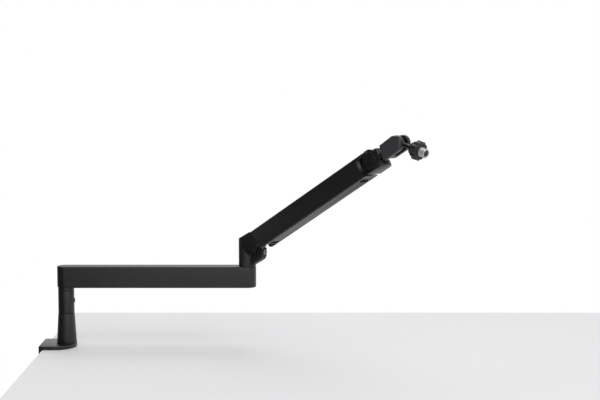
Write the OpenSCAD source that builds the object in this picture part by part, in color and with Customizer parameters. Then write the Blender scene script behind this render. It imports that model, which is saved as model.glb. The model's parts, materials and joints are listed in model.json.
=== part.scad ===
/* [Arms] */
// Width of both arms
arm_w = 32.5; // [30:0.5:36]
// Height of the base arm
arm_h = 40; // [38:0.5:44]
// Height of the upper arm
upper_h = 38; // [37.5:0.5:42]
// Wall of the arm shells
arm_wall = 3; // [2.5:0.5:3.5]
// Bevel along the arms' long edges
arm_bevel = 1.4; // [0.8:0.2:2]
// Base arm from the pole axis to the elbow axis
base_reach = 340.4; // [280.4:1:400.4]
// Upper arm from the elbow's tilt axis to the wrist's tilt axis
upper_reach = 347.7; // [299.7:1:399.7]

/* [Pose] */
// Upper arm turned toward the viewer, about the upright elbow axis
elbow_turn = 45.9; // [0.9:1:90.9]
// Upper arm raised above level
arm_pitch = 29.3; // [5.3:1:60.3]
// Microphone stud turned down from the upper arm's line
stud_drop = 44; // [0:1:60]

/* [Clamp] */
// Thickness of the top plate
plate_t = 5; // [4:0.5:7]
// Half depth of the top plate, which is also its rounded end's radius
plate_r = 39; // [34:1:42]
// Pole axis to the middle of the plate's rounded end
plate_back = 20; // [16:1:24]
// Pole axis to the outer face of the upright web
web_out = 47; // [44:1:56]
// Thickness of the upright web
web_t = 5.5; // [4:0.5:7]
// Width of the upright web below the plate
web_w = 56; // [50:1:70]
// Rubber pads on the plate and the web
pad_t = 2; // [1.5:0.5:2.5]
// Widest desk top that the jaw takes
jaw_max = 60; // [50:1:70]
// Jaw opening in the stored pose
jaw_open = 30; // [10:1:45]
// Radius of the clamp screw
screw_r = 5; // [4:0.5:6]
// Radius of the swivelling pressure pad
jaw_r = 19; // [15:1:20]
// Radius of the clamp screw's hand knob
knob_r = 24; // [20:1:28]
// Lobes on the hand knob
knob_lobes = 6; // [4:1:8]

/* [Pole] */
// Height of the tapered socket
socket_h = 56.8; // [50:0.1:70]
// Radius of the socket at its foot
socket_foot_r = 18.6; // [17.5:0.1:22]
// Radius of the socket at its top
socket_top_r = 15.4; // [15.2:0.1:17]
// Radius of the riser
riser_r = 15; // [14.5:0.1:15.2]
// Height of the riser's visible part
riser_h = 42.5; // [36:0.1:80]
// Radius of the riser's spigot in the socket
spigot_r = 11; // [10:0.5:12]
// Radius of the upright pivot shafts
shaft_r = 8; // [7:0.5:8.5]
// Wall of the plastic sleeves round the upright shafts
sleeve_t = 2.5; // [1.5:0.5:2.5]
// Flange of those sleeves, which shows as a dark line
flange_t = 1.2; // [0.8:0.1:1.6]
// Metal ring between the riser and the base arm
hub_ring_h = 5.5; // [3:0.5:8]

/* [Elbow] */
// Tilt axis ahead of the turret's own axis
tilt_ahead = 15.3; // [14.3:0.5:16.3]
// Tilt axis above the base arm's top
tilt_up = 44; // [42:0.5:48]
// Radius of the fork's round heads
elbow_head_r = 20; // [18:0.5:20]
// Half width of both hinges across the fork's heads
fork_half = 8; // [7.5:0.5:9]
// Half width of the gap between the two heads
gap_half = 4.6; // [4.4:0.1:5]
// Half width of the tongue in the gap
tongue_half = 4; // [3.6:0.1:4.1]
// Upper arm's slanted end ahead of the tilt axis, at its foot
end_ahead = 31.5; // [31:0.5:36]
// Upper arm's slanted end ahead of the tilt axis, at its top
end_top = 19.4; // [19.4:0.2:22]
// Upper arm's middle line below the line through its hinges
arm_drop = 3.5; // [3:0.5:4]
// Highest the upper arm is raised above level
pitch_max = 80; // [60:1:85]

/* [Wrist] */
// Radius of the wrist's round heads
wrist_head_r = 19; // [17:0.5:19]
// Middle of the rounded shelf ahead of the wrist's tilt axis
shelf_ahead = 15; // [14:0.5:18]
// Thickness of the shelf
shelf_t = 10; // [8:0.5:10]
// Swivel axis below the arm's middle line
swivel_drop = 3; // [2:0.5:4]
// Radius of the ribbed swivel collar
collar_r = 9.2; // [8:0.1:9.4]
// Clamp head's width
head_w = 22.6; // [20:0.2:25]
// Clamp head's height
head_h = 27; // [25:0.5:28]
// Ball's middle ahead of the wrist's tilt axis
ball_ahead = 71; // [70:0.5:76]
// Radius of the ball
ball_r = 9; // [8:0.5:9.5]
// Width of the slot between the clamp head's ears
slot_w = 9.6; // [9:0.2:11]
// Radius of the stud's neck
neck_r = 4; // [3.5:0.1:4.2]
// Radius of the small collar behind the lock nut
stud_collar_r = 11; // [10:0.5:14]
// Radius of the lobed lock nut
nut_r = 16.8; // [15:0.2:19]
// Lobes on the lock nut
nut_lobes = 12; // [8:1:16]
// Radius of the 5/8 inch microphone thread
stud_r = 7.94; // [7.9:0.02:8]

/* [Cable] */
// Width of the cable channel's openings
cable_w = 20; // [12:1:22]
// Length of the cable openings along the arm
cable_l = 9; // [7:0.5:12]
// Thickness of the channel covers
cover_t = 2.4; // [2:0.1:3]

/* [Hidden] */
$fn = 96;

// Clearances
run = 0.05;
seat = 0.02;
side_gap = 0.3;
// Longer than any cut
far = 60;

// Heights above the desk top
plate_top = pad_t + plate_t;
socket_top = plate_top + socket_h;
riser_top = socket_top + riser_h;
ring_low = riser_top + flange_t;
base_low = ring_low + hub_ring_h;
base_top = base_low + arm_h;
turret_low = base_top + flange_t;
sleeve_r = shaft_r + run + sleeve_t;
lock_z = socket_top + 24;

// Clamp below the desk top
jaw_t = 3;
cup_h = 6;
lower_t = 14;
lower_top = -jaw_max - jaw_t - cup_h - 5;
lower_low = lower_top - lower_t;
screw_top = -jaw_open - jaw_t - 1.5;
knob_top = lower_low - (jaw_open - 5) - 3;
knob_h = 20;
boss_r = 14;

// Arms
half_w = arm_w / 2;
upper_low = -arm_drop - upper_h / 2;
upper_high = upper_h / 2 - arm_drop;
boss_half = 19;
rib_h = 9.5;
cover_w = arm_w - 2 * arm_wall - 2 * side_gap;
elbow_cover_start = end_ahead + 15;
wrist_cover_end = upper_reach - 27;
recess = 1;
cap_t = 1.6;
bolt_in = cap_t + 0.1;
bolt_head_r = 7;
wrist_bolt_head_r = 6;
elbow_cap_r = elbow_head_r - 5;
wrist_cap_r = wrist_head_r - 3.4;
cap_ring_outer = wrist_cap_r - 4.6;
cap_ring_inner = wrist_cap_r - 9.1;
axle_r = 4;
wrist_axle_r = 3.5;
block_low = -4.8;
block_h = upper_high - arm_wall - block_low;
shelf_sweep = wrist_head_r + 6.5;
shelf_room = -12;
// The top wall runs on beside the wrist's heads
horn_low = 10;
horn_in = fork_half + 1.2;
horn_ahead = 6;

// Elbow turret
head_slope = 26.5;
wall_turn = 15;
lug_half = 6;
lug_face = 31.5;
lug_top = -5.5;
screw_drop = 13.6;
tension_r = 2.5;
tension_nut_r = 4;

// Balance spring
spring_r = 7.5;
wire_r = 1;
spring_turns = 22;
spring_len = 130;
spring_start = 110;
guide_r = 3.5;

// Wrist
shelf_back = -8;
head_back = 36.8;
lever_ahead = ball_ahead - ball_r - 4;
ear_r = head_h / 2;
lever_t = 4.5;
lever_screw_r = 2.5;
stud_collar_at = 27;
stud_collar_t = 8;
nut_at = stud_collar_at + stud_collar_t + 1;
nut_t = 12;
stud_end = nut_at + nut_t + 12;

// Places: each puts its children in the frame of one joint
module at_elbow() {
    translate([base_reach, 0, base_top]) rotate([0, 0, -elbow_turn]) children();
}
module at_tilt() {
    at_elbow() translate([tilt_ahead, 0, tilt_up]) children();
}
module at_arm() {
    at_tilt() rotate([0, -arm_pitch, 0]) children();
}
module at_wrist() {
    at_arm() translate([upper_reach, 0, 0]) children();
}
module at_swivel() {
    at_wrist() translate([0, 0, -swivel_drop]) children();
}
module at_ball() {
    at_swivel() translate([ball_ahead, 0, 0]) rotate([0, stud_drop, 0]) children();
}

// Round bar across the arm, between two distances from its middle plane
module across(r, from, to) {
    rotate([-90, 0, 0]) translate([0, 0, from]) cylinder(r = r, h = to - from);
}
// Round bar along the arm
module along(r, from, to) {
    rotate([0, 90, 0]) translate([0, 0, from]) cylinder(r = r, h = to - from);
}
// The same on both sides of the middle plane
module both_sides() {
    for (a = [0, 180]) rotate([0, 0, a]) children();
}
module ring(r, bore, h) {
    difference() {
        cylinder(r = r, h = h);
        translate([0, 0, -1]) cylinder(r = bore, h = h + 2);
    }
}

// Arm section with bevelled edges, and half of it for the rounded ends
module arm_profile(h) {
    polygon([[arm_bevel - half_w, 0], [half_w - arm_bevel, 0], [half_w, arm_bevel], [half_w, h - arm_bevel],
        [half_w - arm_bevel, h], [arm_bevel - half_w, h], [-half_w, h - arm_bevel], [-half_w, arm_bevel]]);
}
module half_arm_profile(h) {
    polygon([[0, 0], [half_w - arm_bevel, 0], [half_w, arm_bevel], [half_w, h - arm_bevel],
        [half_w - arm_bevel, h], [0, h]]);
}
// Solid arm with its lower face on z = 0, rounded at its far end
module arm_bar(from, to, h) {
    translate([from, 0, 0]) rotate([90, 0, 90]) linear_extrude(to - from) arm_profile(h);
    translate([to, 0, 0]) rotate([0, 0, -90]) rotate_extrude(angle = 180) half_arm_profile(h);
}
// Channel cover with a cable opening near each end
module cover_plate(from, to) {
    difference() {
        translate([from, -cover_w / 2, 0]) cube([to - from, cover_w, cover_t]);
        for (x = [from + 3, to - 3 - cable_l])
            translate([x, -cable_w / 2, -1]) cube([cable_l, cable_w, cover_t + 2]);
    }
    // Lips that stand up inside the walls, between the magnets' ribs
    lip_from = 38;
    lip_gap = 7;
    lip_l = (to - from) / 2 - lip_from - lip_gap;
    for (s = [-1, 1], x = [from + lip_from, (from + to) / 2 + lip_gap])
        translate([x, s * (cover_w / 2 - 1.1) - 0.6, cover_t]) cube([lip_l, 1.2, 2]);
}
// Magnets stand on ribs that cross the channel's sides
module magnet_places(from, to) {
    for (x = [from + 30, (from + to) / 2, to - 30], s = [-1, 1])
        translate([x, s * (half_w - arm_wall - 4.5), cover_t + side_gap]) children();
}

// Clamp
module plate_outline() {
    intersection() {
        translate([-plate_back, 0]) circle(r = plate_r);
        translate([-web_out, -plate_r]) square([web_out + plate_r, 2 * plate_r]);
    }
    translate([-web_out, -plate_r]) square([web_out - plate_back, 2 * plate_r]);
}
module clamp_bracket() {
    color("#1b1b1d") difference() {
        union() {
            translate([0, 0, pad_t]) linear_extrude(plate_t) plate_outline();
            // Flange along the desk's edge
            translate([-web_out, -plate_r, -8]) cube([web_t, 2 * plate_r, pad_t + plate_t + 8 - 0.5]);
            // Web down to the lower arm
            translate([-web_out, -web_w / 2, lower_low]) cube([web_t, web_w, -lower_low]);
            // Side ribs of the lower corner
            for (s = [-1, 1])
                translate([-web_out + web_t, s * (web_w / 2 - 5) - 2.5, 0]) rotate([90, 0, 0])
                    translate([0, 0, -5]) linear_extrude(5)
                        polygon([[-0.5, lower_low + 1], [22, lower_low + 1], [22, lower_top],
                            [3, lower_top + 20], [-0.5, lower_top + 26]]);
            // Lower arm with the threaded boss
            translate([-web_out, -web_w / 2, lower_low + 4]) cube([web_out - 4, web_w, lower_t - 6]);
            translate([-4, 0, lower_low + 4]) cylinder(r = web_w / 2, h = lower_t - 6);
            translate([0, 0, lower_low]) cylinder(r = boss_r, h = lower_t);
        }
        translate([0, 0, lower_low - 1]) cylinder(r = screw_r + run, h = lower_t + 2);
        socket_screw_places() {
            translate([0, 0, pad_t - 1]) cylinder(r = 2.75, h = plate_t + 2);
            translate([0, 0, pad_t - 0.01]) cylinder(r1 = 5.2, r2 = 2.75, h = 2.6);
        }
    }
}
module socket_screw_places() {
    for (a = [45 : 90 : 315]) rotate([0, 0, a]) translate([14.2, 0, 0]) children();
}
module plate_pad() {
    color("#141414") linear_extrude(pad_t - seat) difference() {
        translate([-plate_back, 0]) circle(r = plate_r - 1.5);
        translate([-web_out - 20, -plate_r]) square([20 + web_t + pad_t, 2 * plate_r]);
    }
}
module web_pad() {
    color("#141414") translate([-web_out + web_t + seat, -web_w / 2 + 2, -26])
        cube([pad_t - 0.5, web_w - 4, 25.5]);
}
module pole_socket() {
    color("#1d1d1f") translate([0, 0, plate_top]) difference() {
        cylinder(r1 = socket_foot_r, r2 = socket_top_r, h = socket_h);
        translate([0, 0, 14]) cylinder(r = spigot_r + run, h = socket_h);
        socket_screw_places() translate([0, 0, -1]) cylinder(r = 2.55, h = 11);
    }
}
module socket_screws() {
    color("#38383a") socket_screw_places() {
        translate([0, 0, pad_t + 0.1]) cylinder(r1 = 5, r2 = 2.5, h = 2.5);
        translate([0, 0, pad_t + 2.6]) cylinder(r = 2.5, h = plate_t + 6);
    }
}
module riser() {
    color("#1d1d1f") difference() {
        union() {
            translate([0, 0, plate_top + 14 + side_gap]) cylinder(r = spigot_r, h = socket_h - 13);
            translate([0, 0, socket_top]) cylinder(r1 = riser_r - 0.8, r2 = riser_r, h = 0.8);
            translate([0, 0, socket_top + 0.8]) cylinder(r = riser_r, h = riser_h - 0.8);
        }
        translate([0, 0, socket_top + 6]) cylinder(r = sleeve_r + seat, h = riser_h);
        translate([0, 0, lock_z]) {
            along(2.5 + run, 0, riser_r + 1);
            along(4 + run, riser_r - 1.5, riser_r + 1);
        }
    }
}
module riser_sleeve() {
    color("#0c0c0c") difference() {
        union() {
            translate([0, 0, socket_top + 6.5]) cylinder(r = sleeve_r, h = riser_h - 6.5 + 0.5);
            translate([0, 0, riser_top + seat]) cylinder(r = riser_r - 0.7, h = flange_t - 2 * seat);
        }
        translate([0, 0, socket_top]) cylinder(r = shaft_r + run, h = riser_h + 10);
        translate([0, 0, lock_z]) along(2.9, 0, riser_r + 1);
    }
}
module lock_screw() {
    color("#2a2a2c") translate([0, 0, lock_z]) difference() {
        union() {
            along(2.5, shaft_r - 0.4, riser_r);
            along(4, riser_r - 1.5 + run, riser_r + 1.2);
        }
        along(1.6, riser_r - 0.8, riser_r + 2, $fn = 6);
    }
}

// Clamp screw and jaw
module clamp_screw() {
    color("#55565a") difference() {
        translate([0, 0, knob_top - knob_h + 6])
            cylinder(r = screw_r, h = screw_top - knob_top + knob_h - 6);
        translate([0, 0, screw_top - 9]) ring(r = screw_r + 1, bore = screw_r - 1, h = 2.4);
        translate([0, 0, knob_top - knob_h + 5]) cylinder(r = 2 + seat, h = 12);
    }
}
module screw_end_bolt() {
    color("#303032") {
        translate([0, 0, knob_top - knob_h + 2]) cylinder(r = 4.4, h = 2.5);
        translate([0, 0, knob_top - knob_h + 4]) cylinder(r = 2, h = 11);
    }
}
module hand_knob() {
    color("#161616") translate([0, 0, knob_top - knob_h]) difference() {
        union() {
            cylinder(r = knob_r - 5, h = knob_h - 5);
            for (i = [0 : knob_lobes - 1]) rotate([0, 0, i * 360 / knob_lobes])
                translate([knob_r - 6, 0, 0]) cylinder(r = 6, h = knob_h - 5);
            translate([0, 0, knob_h - 5.5]) cylinder(r1 = 14, r2 = 10, h = 5.5);
        }
        // Hollows between the lobes
        for (i = [0 : knob_lobes - 1]) rotate([0, 0, (i + 0.5) * 360 / knob_lobes])
            translate([knob_r + 1, 0, -1]) cylinder(r = 6.5, h = knob_h - 3);
        translate([0, 0, 6 - seat]) cylinder(r = screw_r + seat, h = knob_h);
        translate([0, 0, 4.5]) cylinder(r = 2.3, h = 3);
        translate([0, 0, -1]) cylinder(r = 5, h = 5.6);
    }
}
module pressure_pad() {
    color("#303032") translate([0, 0, -jaw_open - jaw_t - cup_h]) difference() {
        union() {
            translate([0, 0, 3]) cylinder(r = jaw_r, h = cup_h - 3);
            cylinder(r1 = 10, r2 = jaw_r - 1, h = 3);
        }
        translate([0, 0, -1]) cylinder(r = screw_r + run, h = cup_h - 0.5 + run);
    }
}
module jaw_rubber() {
    color("#141414") translate([0, 0, -jaw_open - jaw_t + seat]) difference() {
        cylinder(r = jaw_r - 0.5, h = jaw_t - seat);
        translate([0, 0, jaw_t - 0.6]) for (r = [6, 11]) ring(r = r + 1, bore = r, h = 2);
    }
}

// Base arm
module hub_ring() {
    color("#222224") translate([0, 0, ring_low]) difference() {
        cylinder(r = riser_r, h = hub_ring_h - seat);
        translate([0, 0, -1]) cylinder(r = shaft_r + seat, h = hub_ring_h + 2);
    }
}
module base_arm_shell() {
    color("#232325") difference() {
        translate([0, 0, base_low]) {
            arm_bar(0, base_reach, arm_h);
            rotate([0, 0, 90]) rotate_extrude(angle = 180) half_arm_profile(arm_h);
        }
        // Channel, open below, with a shoulder that carries the cover
        translate([boss_half, arm_wall - half_w, base_low - 1])
            cube([base_reach - 2 * boss_half, arm_w - 2 * arm_wall, arm_h + 1 - arm_wall]);
        translate([0, 0, base_low - 1]) cylinder(r = shaft_r + seat, h = arm_h - 9);
        // Bore for the elbow sleeve, and room for its nut below
        translate([base_reach, 0, base_low + 9]) cylinder(r = sleeve_r + seat, h = arm_h);
        translate([base_reach, 0, base_low - 1]) cylinder(r = 13, h = 11);
    }
    color("#232325") magnet_ribs(base_low, boss_half, base_reach - boss_half);
}
module magnet_ribs(low, from, to) {
    for (x = [from + 30, (from + to) / 2, to - 30], s = [-1, 1]) difference() {
        translate([x - 6, s * (half_w - arm_wall - 4.25) - 4.75, low + cover_t + side_gap])
            cube([12, 9.5, rib_h]);
        translate([x, s * (half_w - arm_wall - 4.5), low + cover_t])
            cylinder(r = 4 + seat, h = 3.3 + side_gap);
    }
}
module base_pivot_shaft() {
    color("#6f7074") translate([0, 0, socket_top + 7]) difference() {
        cylinder(r = shaft_r, h = base_low - socket_top - 7 + arm_h - 10.5);
        // Groove that the lock screw holds
        translate([0, 0, lock_z - socket_top - 7 - 3.5]) ring(r = shaft_r + 1, bore = shaft_r - 0.6, h = 7);
    }
}
module elbow_sleeve() {
    color("#0c0c0c") difference() {
        union() {
            translate([base_reach, 0, base_low + 9]) cylinder(r = sleeve_r, h = arm_h - 9 + 0.5);
            translate([base_reach, 0, base_top + seat]) cylinder(r = half_w - 0.9, h = flange_t - 2 * seat);
        }
        translate([base_reach, 0, base_low]) cylinder(r = shaft_r + run, h = arm_h + 10);
    }
}
module base_magnets() {
    color("#9a9a9e") translate([0, 0, base_low]) magnet_places(boss_half, base_reach - boss_half)
        cylinder(r = 4, h = 3);
}
module base_cover() {
    color("#1a1a1c") translate([0, 0, base_low])
        cover_plate(boss_half + side_gap, base_reach - boss_half - side_gap);
}

// Turret: a round foot whose sides stop at slanted walls, and a fork between them
module turret() {
    color("#202022") at_elbow() difference() {
        union() {
            difference() {
                translate([0, 0, flange_t]) cylinder(r = half_w, h = tilt_up + elbow_head_r);
                // Sloping top, which touches the heads
                translate([tilt_ahead, 0, tilt_up]) rotate([0, -head_slope, 0])
                    translate([-far, -far, elbow_head_r]) cube(2 * far);
                for (m = [0, 1]) mirror([0, m, 0]) beside_fork();
            }
            translate([tilt_ahead, 0, tilt_up]) across(elbow_head_r, -fork_half, fork_half);
            // Lug under the arm, which holds the tension screw
            turret_slice(lug_half) lug_side();
        }
        // Gap between the heads, round the tongue
        translate([tilt_ahead, 0, tilt_up]) {
            across(elbow_head_r + recess, -gap_half, gap_half);
            translate([0, -gap_half, -8]) cube([far, 2 * gap_half, far]);
            rotate([0, -pitch_max, 0]) translate([0, -gap_half, -8]) cube([far, 2 * gap_half, 30]);
            across(axle_r + seat, -fork_half - 1, fork_half + 1);
            both_sides() across(elbow_cap_r, fork_half - cap_t, fork_half + 1);
            // Seats for the bolt's head and nut
            both_sides() across(bolt_head_r + seat, fork_half - 3.2, fork_half);
        }
        // Hole for the tension screw, and a pocket for its nut
        lug_tip() {
            translate([0, 0, -16]) cylinder(r = tension_r + run, h = 18);
            translate([-tension_nut_r - 12, -tension_nut_r - run, -8])
                cube([16 + tension_nut_r + run, 2 * (tension_nut_r + run), 3.3]);
        }
        // Bore for the upright shaft
        translate([0, 0, -1]) cylinder(r = shaft_r + seat, h = 15);
    }
}
// What is cut away on one side of the fork, above a slanted wall that turns forward
module beside_fork() {
    wall = [[-29, 9], [-21, 0.6], [-18, -6.5], [-10.5, -13.8], [-4, -20.7], [4, -34],
        [far, -34], [far, far], [-29, far]];
    intersection() {
        translate([-far, -half_w - 1, 0]) cube([2 * far, half_w + 1 - fork_half, 2 * far]);
        translate([tilt_ahead, -fork_half, tilt_up]) rotate([0, 0, wall_turn]) rotate([90, 0, 0])
            translate([0, 0, -far]) linear_extrude(2 * far)
                polygon([for (p = wall) [p[0] * cos(wall_turn), p[1]]]);
    }
}
// Side view of a turret's solid, measured from the tilt axis
module turret_slice(half) {
    translate([tilt_ahead, 0, tilt_up]) rotate([90, 0, 0]) translate([0, 0, -half])
        linear_extrude(2 * half) children();
}
module lug_side() {
    difference() {
        polygon([[-8, -40], [1, -41], [16.8, -33], [28.5, -26.3], [lug_face, -20.5], [lug_face, lug_top],
            [24, lug_top], [14, -17], [-8, -24]]);
        circle(r = elbow_head_r + recess);
    }
}
// The tension screw's seat on the lug's face, with z along the screw
module lug_tip() {
    translate([tilt_ahead + lug_face, 0, tilt_up - screw_drop]) rotate([0, 90, 0]) children();
}
module turret_shaft() {
    color("#6f7074") at_elbow() difference() {
        translate([0, 0, -arm_h + 10]) cylinder(r = shaft_r, h = arm_h - 10 + 13);
        translate([0, 0, -arm_h + 9]) cylinder(r = 3 + seat, h = 14);
    }
}
module shaft_washer() {
    color("#8a8b8f") at_elbow() translate([0, 0, -arm_h + 9 - 2]) ring(r = 12, bore = 3.2, h = 2 - seat);
}
module shaft_screw() {
    color("#3a3a3c") at_elbow() {
        translate([0, 0, -arm_h + 2.6]) cylinder(r = 5.5, h = 4.4 - seat);
        translate([0, 0, -arm_h + 6.9]) cylinder(r = 3, h = 14);
    }
}
module tilt_bolt() {
    color("#6f7074") at_tilt() {
        across(axle_r, bolt_in - fork_half, fork_half - 2);
        across(bolt_head_r, bolt_in - fork_half, -gap_half - 0.3);
    }
}
module tilt_bolt_nut() {
    color("#6f7074") at_tilt() difference() {
        across(bolt_head_r, gap_half + 0.3, fork_half - bolt_in);
        across(axle_r + seat, 0, fork_half + 1);
    }
}
module elbow_caps() {
    color("#1c1c1e") at_tilt() both_sides()
        across(elbow_cap_r - seat, fork_half - cap_t + seat, fork_half - 0.1);
}
module hinge_washers(r, bore) {
    both_sides() difference() {
        across(r, tongue_half + seat, gap_half - seat);
        across(bore + seat, 0, fork_half);
    }
}
module elbow_washers() {
    color("#b8a888") at_tilt() hinge_washers(elbow_head_r - 7, axle_r);
}

// Upper arm
module upper_arm_shell() {
    color("#1a1a1c") at_arm() {
        difference() {
            translate([0, 0, upper_low]) arm_bar(0, upper_reach, upper_h);
            // Slanted end at the elbow, and a round recess for the heads
            before_end();
            across(elbow_head_r + recess + 0.5, -30, 30);
            translate([upper_reach, 0, 0]) {
                wrist_scoop();
                // Room for the shelf when the head is lowered
                intersection() {
                    across(shelf_sweep, -30, 30);
                    translate([-far, -30, -far]) cube([far, far, far + shelf_room]);
                }
            }
            // Channel, open below
            translate([end_ahead + 8, arm_wall - half_w, upper_low - 1])
                cube([upper_reach - end_ahead - 33, arm_w - 2 * arm_wall, upper_h + 1 - arm_wall]);
            // Way for the lug and the tension screw
            translate([10, -lug_half - 1, upper_low - 1])
                cube([end_ahead, 2 * lug_half + 2, lug_top - upper_low + 3]);
            // Seats for the two end castings
            translate([10, -half_w + 7, block_low])
                cube([end_ahead, arm_w - 14, block_h]);
            translate([upper_reach - 27, -half_w + 7, upper_low + 6])
                cube([far, arm_w - 14, upper_h - 12]);
            block_screw_places() translate([0, 0, upper_high - 10]) cylinder(r = 1.6, h = 20);
        }
        magnet_ribs(upper_low, elbow_cover_start, wrist_cover_end);
    }
}
// What is cut off ahead of the slanted end
module before_end() {
    rotate([90, 0, 0]) translate([0, 0, -far / 2]) linear_extrude(far)
        polygon([[-1, upper_low - 1], [end_ahead, upper_low - 1], [end_top, upper_high + 1],
            [-1, upper_high + 1]]);
}
// Cut round the wrist's heads; the top wall runs on at both sides of them
module wrist_scoop() {
    translate([horn_ahead, -30, -30]) cube(far);
    intersection() {
        union() {
            across(wrist_head_r + 2, -30, 30);
            translate([0, -30, -30]) cube(far);
        }
        union() {
            translate([-30, -30, -30]) cube([far, far, 30 + horn_low]);
            translate([-30, -horn_in, -30]) cube([far, 2 * horn_in, far]);
        }
    }
}
module block_screw_places() {
    for (x = [end_ahead + 2, upper_reach - 22]) translate([x, 0, 0]) children();
}
module elbow_block() {
    color("#202022") at_arm() difference() {
        union() {
            across(elbow_head_r - 1, -tongue_half, tongue_half);
            translate([0, -tongue_half, block_low]) cube([end_ahead + 20, 2 * tongue_half, 16]);
            difference() {
                translate([elbow_head_r + recess + 1, -half_w + 7 + seat, block_low + seat])
                    cube([end_ahead - 6, arm_w - 14 - 2 * seat, block_h - 2 * seat]);
                before_end();
            }
        }
        across(axle_r + run, -10, 10);
        along(guide_r + run, 30, 80);
        block_screw_places() translate([0, 0, 6]) cylinder(r = 1.5, h = 20);
    }
}
module block_screws() {
    color("#2c2c2e") at_arm() block_screw_places() {
        translate([0, 0, 6.4]) cylinder(r = 1.5 - seat, h = upper_high - 6.4 - 0.1);
    }
}
module wrist_fork() {
    color("#202022") at_wrist() difference() {
        union() {
            across(wrist_head_r, -fork_half, fork_half);
            translate([-27 + seat, -fork_half, -13]) cube([27, 2 * fork_half, 22 - seat]);
            translate([-27 + seat, -half_w + 7 + seat, upper_low + 6 + seat])
                cube([5, arm_w - 14 - 2 * seat, upper_h - 12 - 2 * seat]);
        }
        across(wrist_head_r + 1, -gap_half, gap_half);
        across(wrist_axle_r + seat, -10, 10);
        both_sides() across(wrist_cap_r, fork_half - cap_t, fork_half + 1);
        both_sides() across(wrist_bolt_head_r + seat, fork_half - 3.2, fork_half);
        translate([-22, 0, 0]) cylinder(r = 1.5, h = 20);
    }
}
module wrist_bolt() {
    color("#6f7074") at_wrist() {
        across(wrist_axle_r, bolt_in - fork_half, fork_half - 2);
        across(wrist_bolt_head_r, bolt_in - fork_half, -gap_half - 0.3);
    }
}
module wrist_bolt_nut() {
    color("#6f7074") at_wrist() difference() {
        across(wrist_bolt_head_r, gap_half + 0.3, fork_half - bolt_in);
        across(wrist_axle_r + seat, 0, fork_half + 1);
    }
}
// Caps with two turned rings on each face
module wrist_caps() {
    color("#1c1c1e") at_wrist() both_sides() difference() {
        union() {
            across(wrist_cap_r - seat, fork_half - cap_t + seat, fork_half);
            across(wrist_cap_r - 1, fork_half - cap_t + seat, fork_half + 0.8);
        }
        for (r = [cap_ring_inner, cap_ring_outer]) difference() {
            across(r + 1, fork_half + 0.3, fork_half + 2);
            across(r, fork_half, fork_half + 3);
        }
    }
}
module wrist_washers() {
    color("#b8a888") at_wrist() hinge_washers(wrist_head_r - 7, wrist_axle_r);
}
module upper_magnets() {
    color("#9a9a9e") at_arm() translate([0, 0, upper_low]) magnet_places(elbow_cover_start, wrist_cover_end)
        cylinder(r = 4, h = 3);
}
module upper_cover() {
    color("#1a1a1c") at_arm() translate([0, 0, upper_low])
        cover_plate(elbow_cover_start + side_gap, wrist_cover_end - side_gap);
}

// Tension screw with a sunk hexagon
module tension_screw() {
    color("#77787c") at_elbow() lug_tip() difference() {
        union() {
            translate([0, 0, side_gap]) cylinder(r = 4.25, h = 2.8);
            translate([0, 0, -12]) cylinder(r = tension_r, h = 13);
        }
        translate([0, 0, 1.2]) cylinder(r = 2, h = 4, $fn = 6);
    }
}
module tension_nut() {
    color("#77787c") at_elbow() lug_tip() translate([0, 0, -7.9])
        ring(r = tension_nut_r, bore = tension_r + run, h = 3);
}
// Spring that balances the arm, round a push rod that slides in the arm
module balance_spring() {
    color("#8a8b8f") at_arm() translate([spring_start, 0, 0]) rotate([0, 90, 0]) coil();
}
// Helix of round wire with closed ends, swept from its formula
module coil() {
    rings = spring_turns * 10;
    sides = 6;
    pitch = (spring_len - 2 * wire_r) / spring_turns;
    points = [for (i = [0 : rings], k = [0 : sides - 1]) let (a = i * 36, b = k * 360 / sides)
        [(spring_r + wire_r * cos(b)) * cos(a), (spring_r + wire_r * cos(b)) * sin(a),
            wire_r + i * pitch / 10 + wire_r * sin(b)]];
    low = [for (i = [0 : rings - 1], k = [0 : sides - 1])
        let (p = i * sides + k, q = i * sides + (k + 1) % sides) [q, p, p + sides]];
    high = [for (i = [0 : rings - 1], k = [0 : sides - 1])
        let (p = i * sides + k, q = i * sides + (k + 1) % sides) [q, p + sides, q + sides]];
    first = [for (k = [0 : sides - 1]) k];
    last = [for (k = [sides - 1 : -1 : 0]) rings * sides + k];
    polyhedron(points, concat([first], low, high, [last]));
}
module spring_guide() {
    color("#77787c") at_arm() {
        along(guide_r, end_ahead + 24, spring_start + spring_len + 8);
        along(spring_r + 1.5, spring_start + spring_len + 0.3, spring_start + spring_len + 4);
    }
}
module spring_anchor() {
    color("#2c2c2e") at_arm() difference() {
        translate([spring_start - 8, -half_w + arm_wall + seat, -10])
            cube([8 - 0.3, arm_w - 2 * arm_wall - 2 * seat, upper_high + 10 - arm_wall - seat]);
        along(guide_r + run, spring_start - 20, spring_start + 10);
    }
}

// Wrist link: tongue, rounded shelf and the neck that the clamp head turns on
module wrist_link() {
    color("#202022") at_wrist() difference() {
        union() {
            difference() {
                union() {
                    // Shelf under the neck
                    translate([shelf_ahead, 0, upper_low]) cylinder(r = half_w, h = shelf_t);
                    translate([shelf_back, -half_w, upper_low])
                        cube([shelf_ahead - shelf_back, arm_w, shelf_t]);
                    // Upright web behind the neck
                    translate([wrist_head_r - 4, -9, upper_low + 2]) cube([9, 18, 10 - upper_low]);
                }
                across(wrist_head_r + 1.2, -30, 30);
            }
            across(wrist_head_r - 0.5, -tongue_half, tongue_half);
            translate([8, -tongue_half, upper_low + 2])
                cube([wrist_head_r - 4, 2 * tongue_half, 10 - upper_low]);
            translate([0, 0, -swivel_drop]) along(7, wrist_head_r + 2, head_back - 1);
        }
        across(wrist_axle_r + run, -10, 10);
        translate([0, 0, -swivel_drop]) along(3 + run, 24, 60);
    }
}
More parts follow.
